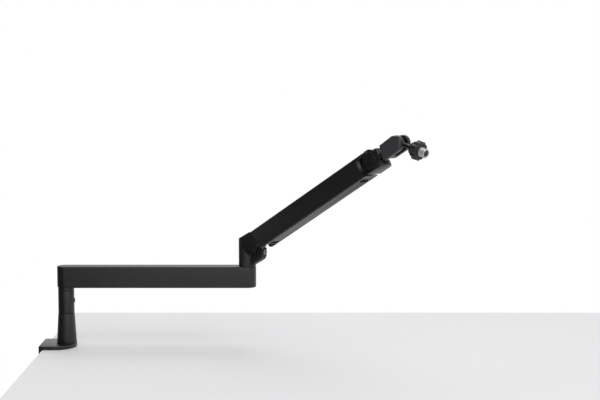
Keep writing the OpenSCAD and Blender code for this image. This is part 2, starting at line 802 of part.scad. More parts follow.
module swivel_collar() {
    color("#141414") at_swivel() difference() {
        along(collar_r, wrist_head_r + 5.3, head_back - 1);
        along(7 + seat, 0, 60);
        for (i = [0 : 3]) difference() {
            along(collar_r + 1, wrist_head_r + 6.3 + i * 2.3, wrist_head_r + 7.4 + i * 2.3);
            along(collar_r - 1, 0, 60);
        }
    }
}
module swivel_screw() {
    color("#6f7074") at_swivel() {
        along(3, 24.5, head_back + 8);
        along(5.5, head_back + 6, head_back + 10);
    }
}
module clamp_head() {
    color("#202022") at_swivel() difference() {
        union() {
            rotate([90, 0, 0]) translate([0, 0, -head_w / 2]) linear_extrude(head_w) head_outline();
            along(8.5, head_back - 0.8, head_back + 1);
        }
        // Slot between the ears, and the ball's seats
        translate([lever_ahead - 7, -slot_w / 2, -head_h]) cube([60, slot_w, 2 * head_h]);
        translate([ball_ahead, 0, 0]) sphere(r = ball_r + run);
        translate([lever_ahead, 0, 0]) {
            across(lever_screw_r + run, -20, 20);
            across(5, head_w / 2 - 3, head_w / 2 + 1, $fn = 6);
        }
        // Room for the swivel screw
        along(3 + run, 20, 60);
        along(5.5 + run, head_back + 6 - run, lever_ahead - 5);
    }
}
module head_outline() {
    top = head_h / 2;
    polygon([[head_back, -top + 5], [head_back + 4, -top], [ball_ahead, -top], [ball_ahead, top],
        [head_back + 7, top], [head_back, top - 4]]);
    translate([ball_ahead, 0]) circle(r = ear_r);
}
// Flat six-sided lever on the near side, centred on its screw
module thumb_lever() {
    color("#2e2e30") at_swivel() translate([lever_ahead, -head_w / 2 - side_gap, 0]) rotate([90, 0, 0])
        difference() {
            union() {
                linear_extrude(lever_t) lever_outline(0);
                translate([0, 0, lever_t - 0.01]) linear_extrude(0.7) lever_outline(1);
            }
            translate([0, 0, -1]) cylinder(r = lever_screw_r + seat, h = lever_t - 1);
        }
}
module lever_outline(inset) {
    polygon([[-20 + inset, -10.5], [-16.5 + inset, 11.5 - inset], [18, 13.5 - inset], [32.5 - inset, 5.5],
        [28.5 - inset, -12 + inset], [-14.5, -15.5 + inset]]);
}
module lever_screw() {
    color("#6f7074") at_swivel() translate([lever_ahead, 0, 0])
        across(lever_screw_r, -head_w / 2 - side_gap - lever_t + 2.2, head_w / 2 - 0.4);
}
module lever_nut() {
    color("#6f7074") at_swivel() translate([lever_ahead, 0, 0]) difference() {
        across(4.8, head_w / 2 - 2.9, head_w / 2 - 0.3, $fn = 6);
        across(lever_screw_r + run, 0, head_w);
    }
}

// Ball stud and what screws on it
module ball_stud() {
    color("#303032") at_ball() {
        sphere(r = ball_r);
        along(neck_r, 0, stud_collar_at + 2);
        along(4.7, stud_collar_at + 1, stud_end);
    }
}
module stud_collar() {
    color("#161616") at_ball() difference() {
        union() {
            along(stud_collar_r, stud_collar_at + 1.5, stud_collar_at + stud_collar_t);
            rotate([0, 90, 0]) translate([0, 0, stud_collar_at])
                cylinder(r1 = 7, r2 = stud_collar_r, h = 1.5);
        }
        along(neck_r + seat, 0, stud_collar_at + 1);
        along(4.7 + seat, stud_collar_at + 1 - seat, 60);
    }
}
module lock_nut() {
    color("#141414") at_ball() rotate([0, 90, 0]) translate([0, 0, nut_at]) difference() {
        union() {
            cylinder(r = nut_r - 1.6, h = nut_t);
            for (i = [0 : nut_lobes - 1]) rotate([0, 0, i * 360 / nut_lobes])
                translate([nut_r - 2.2, 0, 0.8]) cylinder(r = 2.2, h = nut_t - 1.6, $fn = 24);
        }
        translate([0, 0, -1]) cylinder(r = stud_r + run, h = nut_t + 2);
        // Dished front
        translate([0, 0, nut_t - 1.5]) cylinder(r1 = nut_r - 6, r2 = nut_r - 4, h = 2);
    }
}
module thread_adaptor() {
    color("#77787c") at_ball() difference() {
        along(stud_r, stud_collar_at + stud_collar_t + seat, stud_end - 1);
        along(4.7 + seat, 0, 80);
        // Relief groove in front of the nut
        difference() {
            along(stud_r + 1, nut_at + nut_t + 0.4, nut_at + nut_t + 1);
            along(stud_r - 0.8, nut_at, stud_end);
        }
    }
}

clamp_bracket();
plate_pad();
web_pad();
pole_socket();
socket_screws();
riser();
riser_sleeve();
lock_screw();
clamp_screw();
screw_end_bolt();
hand_knob();
pressure_pad();
jaw_rubber();
hub_ring();
base_arm_shell();
base_pivot_shaft();
elbow_sleeve();
base_magnets();
base_cover();
turret();
turret_shaft();
shaft_washer();
shaft_screw();
tilt_bolt();
tilt_bolt_nut();
elbow_caps();
elbow_washers();
upper_arm_shell();
elbow_block();
block_screws();
wrist_fork();
wrist_bolt();
wrist_bolt_nut();
wrist_caps();
wrist_washers();
upper_magnets();
upper_cover();
tension_screw();
tension_nut();
balance_spring();
spring_guide();
spring_anchor();
wrist_link();
swivel_collar();
swivel_screw();
clamp_head();
thumb_lever();
lever_screw();
lever_nut();
ball_stud();
stud_collar();
lock_nut();
thread_adaptor();
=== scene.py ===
import bpy, bmesh, json, math
from mathutils import Matrix, Vector


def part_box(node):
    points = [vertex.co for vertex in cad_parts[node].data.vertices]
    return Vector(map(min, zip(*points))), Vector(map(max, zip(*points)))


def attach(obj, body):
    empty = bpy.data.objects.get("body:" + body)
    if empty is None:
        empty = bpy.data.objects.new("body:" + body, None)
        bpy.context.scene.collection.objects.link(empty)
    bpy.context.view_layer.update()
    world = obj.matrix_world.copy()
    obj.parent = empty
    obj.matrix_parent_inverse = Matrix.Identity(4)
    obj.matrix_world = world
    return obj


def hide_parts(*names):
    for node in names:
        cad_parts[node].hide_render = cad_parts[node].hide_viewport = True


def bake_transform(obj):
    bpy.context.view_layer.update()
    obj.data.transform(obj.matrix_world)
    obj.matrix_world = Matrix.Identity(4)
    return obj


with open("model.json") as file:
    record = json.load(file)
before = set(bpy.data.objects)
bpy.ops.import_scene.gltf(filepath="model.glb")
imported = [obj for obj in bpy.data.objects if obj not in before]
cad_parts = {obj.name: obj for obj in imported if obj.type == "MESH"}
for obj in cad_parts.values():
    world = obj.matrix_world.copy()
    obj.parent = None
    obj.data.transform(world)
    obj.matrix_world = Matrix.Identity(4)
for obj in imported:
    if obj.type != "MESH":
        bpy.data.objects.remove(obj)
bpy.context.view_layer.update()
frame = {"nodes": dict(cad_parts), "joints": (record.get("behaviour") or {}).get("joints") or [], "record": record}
cadNodes = frame["nodes"]
joints = {j["name"]: j for j in frame["joints"]}
bodyOf = {n: b for b, members in frame["record"]["behaviour"]["bodies"].items() for n in members}
slotOf = {p["node"]: p["material_slot"] for p in frame["record"]["subparts"]}
mm = 0.001
weldGap = 0.002      # corners nearer than this, in millimetres, are one
print("frame loaded:", len(cadNodes), "nodes")


# Places on the arm, read from the joints
def turned(origin, along, up):
    # x runs along, z is up, both unit vectors
    side = up.cross(along)
    return Matrix(((along.x, side.x, up.x, origin.x), (along.y, side.y, up.y, origin.y),
                   (along.z, side.z, up.z, origin.z), (0, 0, 0, 1)))


def jointPoint(name):
    return Vector(joints[name]["pos_m"])


upwards = Vector((0, 0, 1))
sideways = Vector(joints["arm_tilt"]["axis"]).normalized()      # across the upper arm, to the viewer's left
alongArm = Vector(joints["head_swivel"]["axis"]).normalized()
aboveArm = sideways.cross(alongArm).normalized()
alongTurret = upwards.cross(sideways).normalized()
alongStud = Vector(joints["lock_nut_turn"]["axis"]).normalized()

turretPlace = turned(jointPoint("arm_tilt"), alongTurret, upwards)
armPlace = turned(jointPoint("arm_tilt"), alongArm, aboveArm)
wristPlace = turned(jointPoint("wrist_tilt"), alongArm, aboveArm)
swivelPlace = turned(jointPoint("head_swivel"), alongArm, aboveArm)
leverPlace = turned(jointPoint("lever_turn"), alongArm, aboveArm)
studPlace = turned(jointPoint("stud_tilt"), alongStud, sideways.cross(alongStud).normalized())
deskPlace = Matrix.Identity(4)


# Materials
def linear(hexColour):
    # sRGB hex to the linear colour that the shaders take
    parts = [int(hexColour[i:i + 2], 16) / 255 for i in (1, 3, 5)]
    return tuple(p / 12.92 if p <= 0.04045 else ((p + 0.055) / 1.055) ** 2.4 for p in parts) + (1.0,)


def addNode(tree, kind, settings=None, inputs=None):
    # one node with its settings; an input is a value, or another node's output to link
    node = tree.nodes.new(kind)
    for key, value in (settings or {}).items():
        setattr(node, key, value)
    for key, value in (inputs or {}).items():
        if isinstance(value, bpy.types.NodeSocket):
            tree.links.new(value, node.inputs[key])
        else:
            node.inputs[key].default_value = value
    return node


def blankMaterial(name):
    material = bpy.data.materials.new(name)
    material.use_nodes = True
    tree = material.node_tree
    tree.nodes.clear()
    shader = addNode(tree, "ShaderNodeBsdfPrincipled")
    output = addNode(tree, "ShaderNodeOutputMaterial")
    tree.links.new(shader.outputs["BSDF"], output.inputs["Surface"])
    place = addNode(tree, "ShaderNodeTexCoord").outputs["Object"]
    return material, tree, shader, place


def cloudedColour(tree, place, look, detail, roughness=0.5):
    # the two colours of a finish in soft clouds, their size in millimetres
    cloud = addNode(tree, "ShaderNodeTexNoise", None, {
        "Vector": place, "Scale": 1 / (look["cloud"] * mm), "Detail": detail, "Roughness": roughness})
    tint = addNode(tree, "ShaderNodeMix", {"data_type": "RGBA"},
                   {"Factor": cloud.outputs["Fac"], "A": linear(look["dark"]), "B": linear(look["light"])})
    return tint.outputs[2]


def coatedMetal(name, look):
    # Aluminium or steel under a thin powder coat: near black, satin, with baked powder's fine orange peel.
    # Grain is in millimetres; the real one is about 0.3, drawn coarser so that it shows.
    material, tree, shader, place = blankMaterial(name)
    peel = addNode(tree, "ShaderNodeTexNoise", None,
                   {"Vector": place, "Scale": 1 / (look["grain"] * mm), "Detail": 2.0, "Roughness": 0.6})
    # Powder pulls back from sharp edges, so they are a little lighter: partly real edge wear, partly a painted
    # edge highlight
    rounded = addNode(tree, "ShaderNodeBevel", {"samples": 4}, {"Radius": look["edge"] * mm})
    flat = addNode(tree, "ShaderNodeNewGeometry")
    bend = addNode(tree, "ShaderNodeVectorMath", {"operation": "DOT_PRODUCT"},
                   {0: rounded.outputs["Normal"], 1: flat.outputs["Normal"]})
    wornAndHighlitEdges = addNode(tree, "ShaderNodeMapRange", None,
                   {"Value": bend.outputs["Value"], "From Min": 0.99, "From Max": 0.86,
                    "To Min": 0.0, "To Max": look["wearAndHighlightShare"]})
    # the lighter edge colour is partly edge wear and partly a painted highlight along the edges
    shade = addNode(tree, "ShaderNodeMix", {"data_type": "RGBA"},
                    {"Factor": wornAndHighlitEdges.outputs["Result"], "A": cloudedColour(tree, place, look, 3.0, 0.55),
                     "B": linear(look["edgeWearAndHighlightColour"])})
    tree.links.new(shade.outputs[2], shader.inputs["Base Color"])
    rough = addNode(tree, "ShaderNodeMapRange", None,
                    {"Value": peel.outputs["Fac"], "From Min": 0.3, "From Max": 0.7,
                     "To Min": look["rough"] - 0.05, "To Max": look["rough"] + 0.07})
    tree.links.new(rough.outputs["Result"], shader.inputs["Roughness"])
    bump = addNode(tree, "ShaderNodeBump", None,
                   {"Height": peel.outputs["Fac"], "Strength": look["bump"], "Distance": 0.12 * mm,
                    "Normal": rounded.outputs["Normal"]})
    tree.links.new(bump.outputs["Normal"], shader.inputs["Normal"])
    shader.inputs["IOR"].default_value = 1.5
    return material


def mouldedPlastic(name, look):
    # Injection-moulded ABS or nylon with a spark-eroded texture: matt pits over a slightly glossier skin.
    material, tree, shader, place = blankMaterial(name)
    pits = addNode(tree, "ShaderNodeTexVoronoi", {"feature": "SMOOTH_F1"},
                   {"Vector": place, "Scale": 1 / (look["grain"] * mm), "Smoothness": 0.4})
    tree.links.new(cloudedColour(tree, place, look, 3.0), shader.inputs["Base Color"])
    rough = addNode(tree, "ShaderNodeMapRange", None,
                    {"Value": pits.outputs["Distance"], "From Min": 0.0, "From Max": 0.8,
                     "To Min": look["rough"] + 0.06, "To Max": look["rough"] - 0.06})
    tree.links.new(rough.outputs["Result"], shader.inputs["Roughness"])
    rounded = addNode(tree, "ShaderNodeBevel", {"samples": 4}, {"Radius": look["edge"] * mm})
    bump = addNode(tree, "ShaderNodeBump", None,
                   {"Height": pits.outputs["Distance"], "Strength": look["bump"], "Distance": 0.1 * mm,
                    "Normal": rounded.outputs["Normal"]})
    tree.links.new(bump.outputs["Normal"], shader.inputs["Normal"])
    shader.inputs["IOR"].default_value = 1.53
    return material


def turnedSteel(name, look):
    # Steel turned on a lathe and plated: grey metal with fine tool lines and a broken sheen.
    material, tree, shader, place = blankMaterial(name)
    stretched = addNode(tree, "ShaderNodeMapping", None, {"Vector": place, "Scale": look["stretch"]})
    lines = addNode(tree, "ShaderNodeTexNoise", None,
                    {"Vector": stretched.outputs["Vector"], "Scale": 1 / (look["grain"] * mm), "Detail": 2.0})
    tree.links.new(cloudedColour(tree, place, look, 4.0), shader.inputs["Base Color"])
    rough = addNode(tree, "ShaderNodeMapRange", None,
                    {"Value": lines.outputs["Fac"], "From Min": 0.3, "From Max": 0.7,
                     "To Min": look["rough"] - 0.08, "To Max": look["rough"] + 0.1})
    tree.links.new(rough.outputs["Result"], shader.inputs["Roughness"])
    bump = addNode(tree, "ShaderNodeBump", None,
                   {"Height": lines.outputs["Fac"], "Strength": look["bump"], "Distance": 0.05 * mm})
    tree.links.new(bump.outputs["Normal"], shader.inputs["Normal"])
    shader.inputs["Metallic"].default_value = 1.0
    return material


def mouldedRubber(name, look):
    # Moulded black rubber: matt, slightly grey where it has dusted, with a soft pebbled skin.
    material, tree, shader, place = blankMaterial(name)
    pebble = addNode(tree, "ShaderNodeTexNoise", None,
                     {"Vector": place, "Scale": 1 / (look["grain"] * mm), "Detail": 3.0})
    tree.links.new(cloudedColour(tree, place, look, 5.0, 0.65), shader.inputs["Base Color"])
    bump = addNode(tree, "ShaderNodeBump", None,
                   {"Height": pebble.outputs["Fac"], "Strength": look["bump"], "Distance": 0.15 * mm})
    tree.links.new(bump.outputs["Normal"], shader.inputs["Normal"])
    shader.inputs["Roughness"].default_value = look["rough"]
    shader.inputs["Sheen Weight"].default_value = 0.15
    return material


# each coated finish's edge colour and its share are partly edge wear and partly a painted edge highlight
finishes = {
    "alu_black": coatedMetal("powderCoatedAluminium", {
        "dark": "#131315", "light": "#17181a", "edgeWearAndHighlightColour": "#2c2d30", "grain": 0.7, "cloud": 14.0,
        "edge": 0.6, "wearAndHighlightShare": 0.35, "rough": 0.44, "bump": 0.16}),
    "steel_black": coatedMetal("powderCoatedSteel", {
        "dark": "#141416", "light": "#19191b", "edgeWearAndHighlightColour": "#313236", "grain": 0.8, "cloud": 11.0,
        "edge": 0.5, "wearAndHighlightShare": 0.45, "rough": 0.4, "bump": 0.2}),
    "screw_black": coatedMetal("blackOxideSteelScrew", {
        "dark": "#1a1b1d", "light": "#232427", "edgeWearAndHighlightColour": "#4a4b4f", "grain": 0.5, "cloud": 3.0,
        "edge": 0.25, "wearAndHighlightShare": 0.6, "rough": 0.34, "bump": 0.08}),
    "plastic_black": mouldedPlastic("mouldedBlackAbs", {
        "dark": "#121214", "light": "#161719", "grain": 0.6, "cloud": 9.0,
        "edge": 0.4, "rough": 0.5, "bump": 0.25}),
    "plastic_lever": mouldedPlastic("mouldedGlassFilledNylon", {
        "dark": "#3a3b3e", "light": "#414245", "grain": 0.5, "cloud": 6.0,
        "edge": 0.5, "rough": 0.46, "bump": 0.2}),
    "nylon": mouldedPlastic("mouldedNaturalNylon", {
        "dark": "#b9b3a2", "light": "#cdc8b9", "grain": 0.7, "cloud": 5.0,
        "edge": 0.2, "rough": 0.5, "bump": 0.15}),
    "rubber_pad": mouldedRubber("mouldedBlackRubber", {
        "dark": "#0f0f10", "light": "#1a1a1b", "grain": 0.5, "cloud": 8.0, "rough": 0.82, "bump": 0.3}),
    "steel_plain": turnedSteel("turnedZincPlatedSteel", {
        "dark": "#7c7e83", "light": "#97999d", "grain": 0.5, "cloud": 7.0, "stretch": (0.3, 0.3, 3.0),
        "rough": 0.36, "bump": 0.2}),
    "spring_steel": turnedSteel("drawnSpringSteel", {
        "dark": "#4e5054", "light": "#6a6c70", "grain": 0.4, "cloud": 5.0, "stretch": (1.0, 1.0, 1.0),
        "rough": 0.38, "bump": 0.12}),
    "zinc_thread": turnedSteel("nickelPlatedBrassThread", {
        "dark": "#a2a3a4", "light": "#b9babb", "grain": 0.4, "cloud": 4.0, "stretch": (2.0, 2.0, 2.0),
        "rough": 0.3, "bump": 0.15}),
    "magnet": turnedSteel("nickelPlatedMagnet", {
        "dark": "#a9abae", "light": "#c0c2c5", "grain": 0.6, "cloud": 4.0, "stretch": (1.0, 1.0, 1.0),
        "rough": 0.24, "bump": 0.05}),
}
print("materials made:", len(finishes))

for nodeName, cadObject in cadNodes.items():
    cadObject.data.materials.clear()
    cadObject.data.materials.append(finishes[slotOf[nodeName]])


# Making and placing pieces
def settled(name, grid, place):
    # a shape drawn in millimetres in a joint's own frame becomes a mesh in metres, at its place
    bmesh.ops.remove_doubles(grid, verts=grid.verts, dist=weldGap)
    grid.transform(place @ Matrix.Scale(mm, 4))
    bmesh.ops.recalc_face_normals(grid, faces=grid.faces)
    mesh = bpy.data.meshes.new(name)
    grid.to_mesh(mesh)
    grid.free()
    return mesh


def scratchObject(mesh):
    obj = bpy.data.objects.new("scratch", mesh)
    bpy.context.scene.collection.objects.link(obj)
    return obj


def baked(obj, name):
    # the evaluated object as a plain mesh, with its modifiers gone
    graph = bpy.context.evaluated_depsgraph_get()
    mesh = bpy.data.meshes.new_from_object(obj.evaluated_get(graph))
    mesh.name = name
    bpy.data.objects.remove(obj)
    return mesh


def eased(mesh, width, steps=2, sharp=34):
    # edges really rounded, by a width in millimetres
    obj = scratchObject(mesh)
    bevel = obj.modifiers.new("ease", "BEVEL")
    bevel.width = width * mm
    bevel.segments = steps
    bevel.limit_method = "ANGLE"
    bevel.angle_limit = math.radians(sharp)
    bevel.use_clamp_overlap = False
    bevel.miter_outer = "MITER_ARC"
    bevel.harden_normals = False
    return baked(obj, mesh.name)


def combined(mesh, tools):
    # solids joined to a mesh or taken out of it, one after another
    obj = scratchObject(mesh)
    helpers = []
    for operation, tool in tools:
        helper = scratchObject(tool)
        helpers.append(helper)
        step = obj.modifiers.new("carve", "BOOLEAN")
        step.operation = operation
        step.solver = "EXACT"
        step.object = helper
    made = baked(obj, mesh.name)
    for helper in helpers:
        bpy.data.objects.remove(helper)
    return made


def mergedCopy(nodeName):
    # a CAD solid's loose triangles merged, and its flat faces joined
    grid = bmesh.new()
    grid.from_mesh(cadNodes[nodeName].data)
    bmesh.ops.remove_doubles(grid, verts=grid.verts, dist=2 * weldGap * mm)
    bmesh.ops.dissolve_degenerate(grid, edges=grid.edges, dist=2 * weldGap * mm)
    bmesh.ops.dissolve_limit(grid, angle_limit=math.radians(0.6), verts=grid.verts, edges=grid.edges,
                             use_dissolve_boundaries=False)
    mesh = bpy.data.meshes.new(nodeName + "Eased")
    grid.to_mesh(mesh)
    grid.free()
    return mesh


def addPiece(name, mesh, stands, smooth=32, between=None):
    # the piece takes the body and the finish of the CAD node that it stands for; a piece given between is
    # joined to no body and stays where it is, and the bodies and ends in between are not used
    slotName = slotOf[stands]
    mesh.materials.clear()
    mesh.materials.append(finishes[slotName])
    mesh.shade_smooth()
    mesh.set_sharp_from_angle(angle=math.radians(smooth))
    piece = bpy.data.objects.new(name, mesh)
    bpy.context.scene.collection.objects.link(piece)
    if between:
        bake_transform(piece)
    else:
        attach(piece, bodyOf[stands])
    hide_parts(stands)


def addEased(name, node, width):
    # a CAD solid with its edges rounded, by a width in millimetres
    addPiece(name, eased(mergedCopy(node), width), node)


def spin(grid, profile, steps=96, turn=None, closed=False):
    # a line of (radius, height) points turned round z; a radius of 0 closes an end
    turn = turn or Matrix.Identity(4)
    rings = []
    for radius, height in profile:
        count = 1 if radius < 1e-6 else steps
        rings.append([grid.verts.new(turn @ Vector((radius * math.cos(2 * math.pi * i / steps),
                                                    radius * math.sin(2 * math.pi * i / steps), height)))
                      for i in range(count)])
    pairs = list(zip(rings, rings[1:])) + ([(rings[-1], rings[0])] if closed else [])
    for low, high in pairs:
        for i in range(steps):
            j = (i + 1) % steps
            corners = [low[i % len(low)], low[j % len(low)], high[j % len(high)], high[i % len(high)]]
            corners = [c for k, c in enumerate(corners) if c not in corners[:k]]
            if len(corners) > 2:
                grid.faces.new(corners)
    return grid


def addTurned(name, node, profile, place=deskPlace, steps=96, turn=None, closed=False, smooth=32):
    grid = spin(bmesh.new(), profile, steps, turn, closed)
    addPiece(name, settled(name, grid, place), node, smooth)


def cornerRing(grid, radius, height, steps):
    # corners round z; the radius is a number, or a function of the angle
    row = []
    for i in range(steps):
        angle = 2 * math.pi * i / steps
        reach = radius(angle) if callable(radius) else radius
        row.append(grid.verts.new((reach * math.cos(angle), reach * math.sin(angle), height)))
    return row


def skin(grid, rows, closed=False):
    # faces between each row of corners and the next; a closed skin goes on from the last row to the first
    for low, high in zip(rows, rows[1:] + (rows[:1] if closed else [])):
        for i in range(len(low)):
            j = (i + 1) % len(low)
            grid.faces.new([low[i], low[j], high[j], high[i]])


def fan(grid, row, tip):
    # faces from a row of corners to one point
    middle = grid.verts.new(tip)
    for i in range(len(row)):
        grid.faces.new([row[i], row[(i + 1) % len(row)], middle])


def prism(grid, outline, low, high):
    # a flat outline of (x, y) points raised from one height to another
    under = [grid.verts.new((x, y, low)) for x, y in outline]
    over = [grid.verts.new((x, y, high)) for x, y in outline]
    grid.faces.new(list(reversed(under)))
    grid.faces.new(over)
    skin(grid, [under, over])


# A turned shape's z goes across the arm, away from the photo's side or towards it, or along the arm
acrossTurn = Matrix.Rotation(math.radians(-90), 4, "X")
nearTurn = Matrix.Rotation(math.radians(90), 4, "X")
alongTurn = Matrix.Rotation(math.radians(90), 4, "Y")


# Geometry Nodes: rings and helices
socketKinds = {float: "NodeSocketFloat", int: "NodeSocketInt", bool: "NodeSocketBool",
               type(None): "NodeSocketObject"}


def nodeTree(name, sizes):
    # a tree with named inputs; an input's first value gives its kind, and an object starts with none
    tree = bpy.data.node_groups.new(name, "GeometryNodeTree")
    tree.interface.new_socket("Geometry", in_out="INPUT", socket_type="NodeSocketGeometry")
    for label, value in sizes.items():
        socket = tree.interface.new_socket(label, in_out="INPUT", socket_type=socketKinds[type(value)])
        if value is not None:
            socket.default_value = value
    tree.interface.new_socket("Finish", in_out="INPUT", socket_type="NodeSocketMaterial")
    tree.interface.new_socket("Geometry", in_out="OUTPUT", socket_type="NodeSocketGeometry")
    start = addNode(tree, "NodeGroupInput")
    return tree, start.outputs


def endTree(tree, geometry, source):
    # the result made real and given its material
    whole = addNode(tree, "GeometryNodeRealizeInstances", None, {"Geometry": geometry})
    painted = addNode(tree, "GeometryNodeSetMaterial", None,
                      {"Geometry": whole.outputs[0], "Material": source["Finish"]})
    addNode(tree, "NodeGroupOutput", None, {"Geometry": painted.outputs[0]})
    return tree


def ranTree(tree, mesh, values, slotName, name):
    # runs a tree on a mesh and returns the plain mesh that it gives
    obj = scratchObject(mesh)
    modifier = obj.modifiers.new("rule", "NODES")
    modifier.node_group = tree
    found = {s.name: s.identifier for s in tree.interface.items_tree if s.in_out == "INPUT"}
    for label, value in values.items():
        modifier[found[label]] = value
    modifier[found["Finish"]] = finishes[slotName]
    return baked(obj, name)


def ringOfPieces():
    # copies of one piece, evenly round z, added to the body that goes in
    tree, source = nodeTree("ringOfPieces", {"Piece": None, "Count": 12, "Radius": 10.0, "Turn": 0.0})
    circle = addNode(tree, "GeometryNodeMeshCircle", {"fill_type": "NONE"},
                     {"Vertices": source["Count"], "Radius": source["Radius"]})
    index = addNode(tree, "GeometryNodeInputIndex")
    part = addNode(tree, "ShaderNodeMath", {"operation": "DIVIDE"}, {0: index.outputs[0], 1: source["Count"]})
    angle = addNode(tree, "ShaderNodeMath", {"operation": "MULTIPLY"}, {0: part.outputs[0], 1: 2 * math.pi})
    facing = addNode(tree, "ShaderNodeCombineXYZ", None, {"Z": angle.outputs[0]})
    item = addNode(tree, "GeometryNodeObjectInfo", None, {"Object": source["Piece"]})
    copies = addNode(tree, "GeometryNodeInstanceOnPoints", None,
                     {"Points": circle.outputs[0], "Instance": item.outputs["Geometry"],
                      "Rotation": facing.outputs[0]})
    spun = addNode(tree, "ShaderNodeCombineXYZ", None, {"Z": source["Turn"]})
    placed = addNode(tree, "GeometryNodeTransform", None,
                     {"Geometry": copies.outputs[0], "Rotation": spun.outputs[0]})
    joined = addNode(tree, "GeometryNodeJoinGeometry")
    tree.links.new(placed.outputs[0], joined.inputs[0])
    tree.links.new(source["Geometry"], joined.inputs[0])
    return endTree(tree, joined.outputs[0], source)


def helixSweep():
    # a flat section carried up a helix: a screw thread, or a wound spring
    tree, source = nodeTree("helixSweep", {"Radius": 8.0, "Turns": 10.0, "Rise": 10.0, "Steps": 48,
                                           "Width": 0.9, "Depth": 0.5, "Round": False})
    path = addNode(tree, "GeometryNodeCurveSpiral", None,
                   {"Resolution": source["Steps"], "Rotations": source["Turns"], "Height": source["Rise"],
                    "Start Radius": source["Radius"], "End Radius": source["Radius"]})
    upright = addNode(tree, "GeometryNodeSetCurveNormal", {"mode": "Z_UP"}, {"Curve": path.outputs[0]})
    wire = addNode(tree, "GeometryNodeCurvePrimitiveCircle", {"mode": "RADIUS"},
                   {"Resolution": 12, "Radius": source["Width"]})
    ridge = addNode(tree, "GeometryNodeCurvePrimitiveQuadrilateral", {"mode": "KITE"},
                    {"Width": source["Depth"], "Bottom Height": source["Width"],
                     "Top Height": source["Width"]})
    section = addNode(tree, "GeometryNodeSwitch", {"input_type": "GEOMETRY"},
                      {"Switch": source["Round"], "False": ridge.outputs[0], "True": wire.outputs[0]})
    swept = addNode(tree, "GeometryNodeCurveToMesh", None,
                    {"Curve": upright.outputs[0], "Profile Curve": section.outputs[0], "Fill Caps": True})
    joined = addNode(tree, "GeometryNodeJoinGeometry")
    tree.links.new(swept.outputs[0], joined.inputs[0])
    tree.links.new(source["Geometry"], joined.inputs[0])
    return endTree(tree, joined.outputs[0], source)


ringTree = ringOfPieces()
helixTree = helixSweep()


def placedMesh(mesh, place):
    # a mesh drawn in millimetres goes to its place in metres
    mesh.transform(place @ Matrix.Scale(mm, 4))
    mesh.update()
    return mesh


def rawMesh(name, grid):
    # a shape in millimetres as a mesh, for a tree or a transform
    bmesh.ops.remove_doubles(grid, verts=grid.verts, dist=weldGap)
    bmesh.ops.recalc_face_normals(grid, faces=grid.faces)
    mesh = bpy.data.meshes.new(name)
    grid.to_mesh(mesh)
    grid.free()
    return mesh


def threaded(name, slotName, grid, sizes):
    # a ridge wound round a turned core, in millimetres along z
    core = rawMesh(name + "Core", grid)
    core.transform(Matrix.Translation((0, 0, -sizes["threadFrom"])))
    turns = (sizes["threadTo"] - sizes["threadFrom"]) / sizes["pitch"]
    mesh = ranTree(helixTree, core, {
        "Radius": sizes["root"], "Turns": turns, "Rise": turns * sizes["pitch"], "Steps": sizes["steps"],
        "Width": sizes["pitch"] * sizes["ridge"],
        "Depth": 2 * (sizes["radius"] - sizes["root"]) - sizes["play"]}, slotName, name)
    mesh.transform(Matrix.Translation((0, 0, sizes["threadFrom"])))
    return mesh


print("node trees built")


# The stand
stand = {"footRadius": 18.6, "topRadius": 15.4, "low": 7.0, "high": 63.8, "edge": 0.45, "bore": 11.05,
         "floor": 21.0, "plateEdge": 0.7, "riserEdge": 0.4, "lockEdge": 0.25}
addTurned("poleSocket", "pole_socket", [
    (0, stand["low"]), (stand["footRadius"] - stand["edge"], stand["low"]),
    (stand["footRadius"] - 0.1, stand["low"] + 0.15),
    (stand["footRadius"] - 0.02, stand["low"] + stand["edge"]),
    (stand["topRadius"] + 0.02, stand["high"] - 2 * stand["edge"]),
    (stand["topRadius"] - 0.2, stand["high"] - 0.2),
    (stand["topRadius"] - 2 * stand["edge"], stand["high"]), (stand["bore"] + 0.3, stand["high"]),
    (stand["bore"], stand["high"] - 0.3), (stand["bore"], stand["floor"]), (0, stand["floor"])], steps=128)
addEased("clampBracket", "clamp_bracket", stand["plateEdge"])
addEased("riserTube", "riser", stand["riserEdge"])
addEased("lockScrew", "lock_screw", stand["lockEdge"])

hubRing = {"radius": 15.0, "bore": 8.02, "low": 107.5, "high": 112.98, "edge": 0.5}
addTurned("hubRing", "hub_ring", [
    (hubRing["bore"], hubRing["low"]), (hubRing["radius"] - hubRing["edge"], hubRing["low"]),
    (hubRing["radius"] - 0.12, hubRing["low"] + 0.15), (hubRing["radius"], hubRing["low"] + hubRing["edge"]),
    (hubRing["radius"], hubRing["high"] - hubRing["edge"]),
    (hubRing["radius"] - 0.12, hubRing["high"] - 0.12),
    (hubRing["radius"] - hubRing["edge"], hubRing["high"]), (hubRing["bore"], hubRing["high"])],
    steps=128, closed=True)
print("stand made")


# Clamp screw, knob and jaw
clampScrew = {"radius": 5.0, "root": 4.15, "pitch": 3.0, "ridge": 0.42, "play": 0.04, "steps": 48,
              "low": -130.0, "high": -34.5, "threadFrom": -119.0, "threadTo": -46.5, "neckLow": -43.5,
              "neckHigh": -41.1, "neck": 4.0, "body": 4.9}
grid = spin(bmesh.new(), [
    (0, clampScrew["low"]), (clampScrew["root"], clampScrew["low"]),
    (clampScrew["root"], clampScrew["threadTo"] + 1),
    (clampScrew["body"], clampScrew["threadTo"] + 2), (clampScrew["body"], clampScrew["neckLow"] - 0.1),
    (clampScrew["neck"], clampScrew["neckLow"]), (clampScrew["neck"], clampScrew["neckHigh"]),
    (clampScrew["body"], clampScrew["neckHigh"] + 0.1), (clampScrew["body"], clampScrew["high"] - 0.8),
    (clampScrew["body"] - 0.8, clampScrew["high"]), (0, clampScrew["high"])], 64)
thread = threaded("clampScrew", "steel_plain", grid, clampScrew)
addPiece("clampScrew", placedMesh(thread, deskPlace), "clamp_screw")

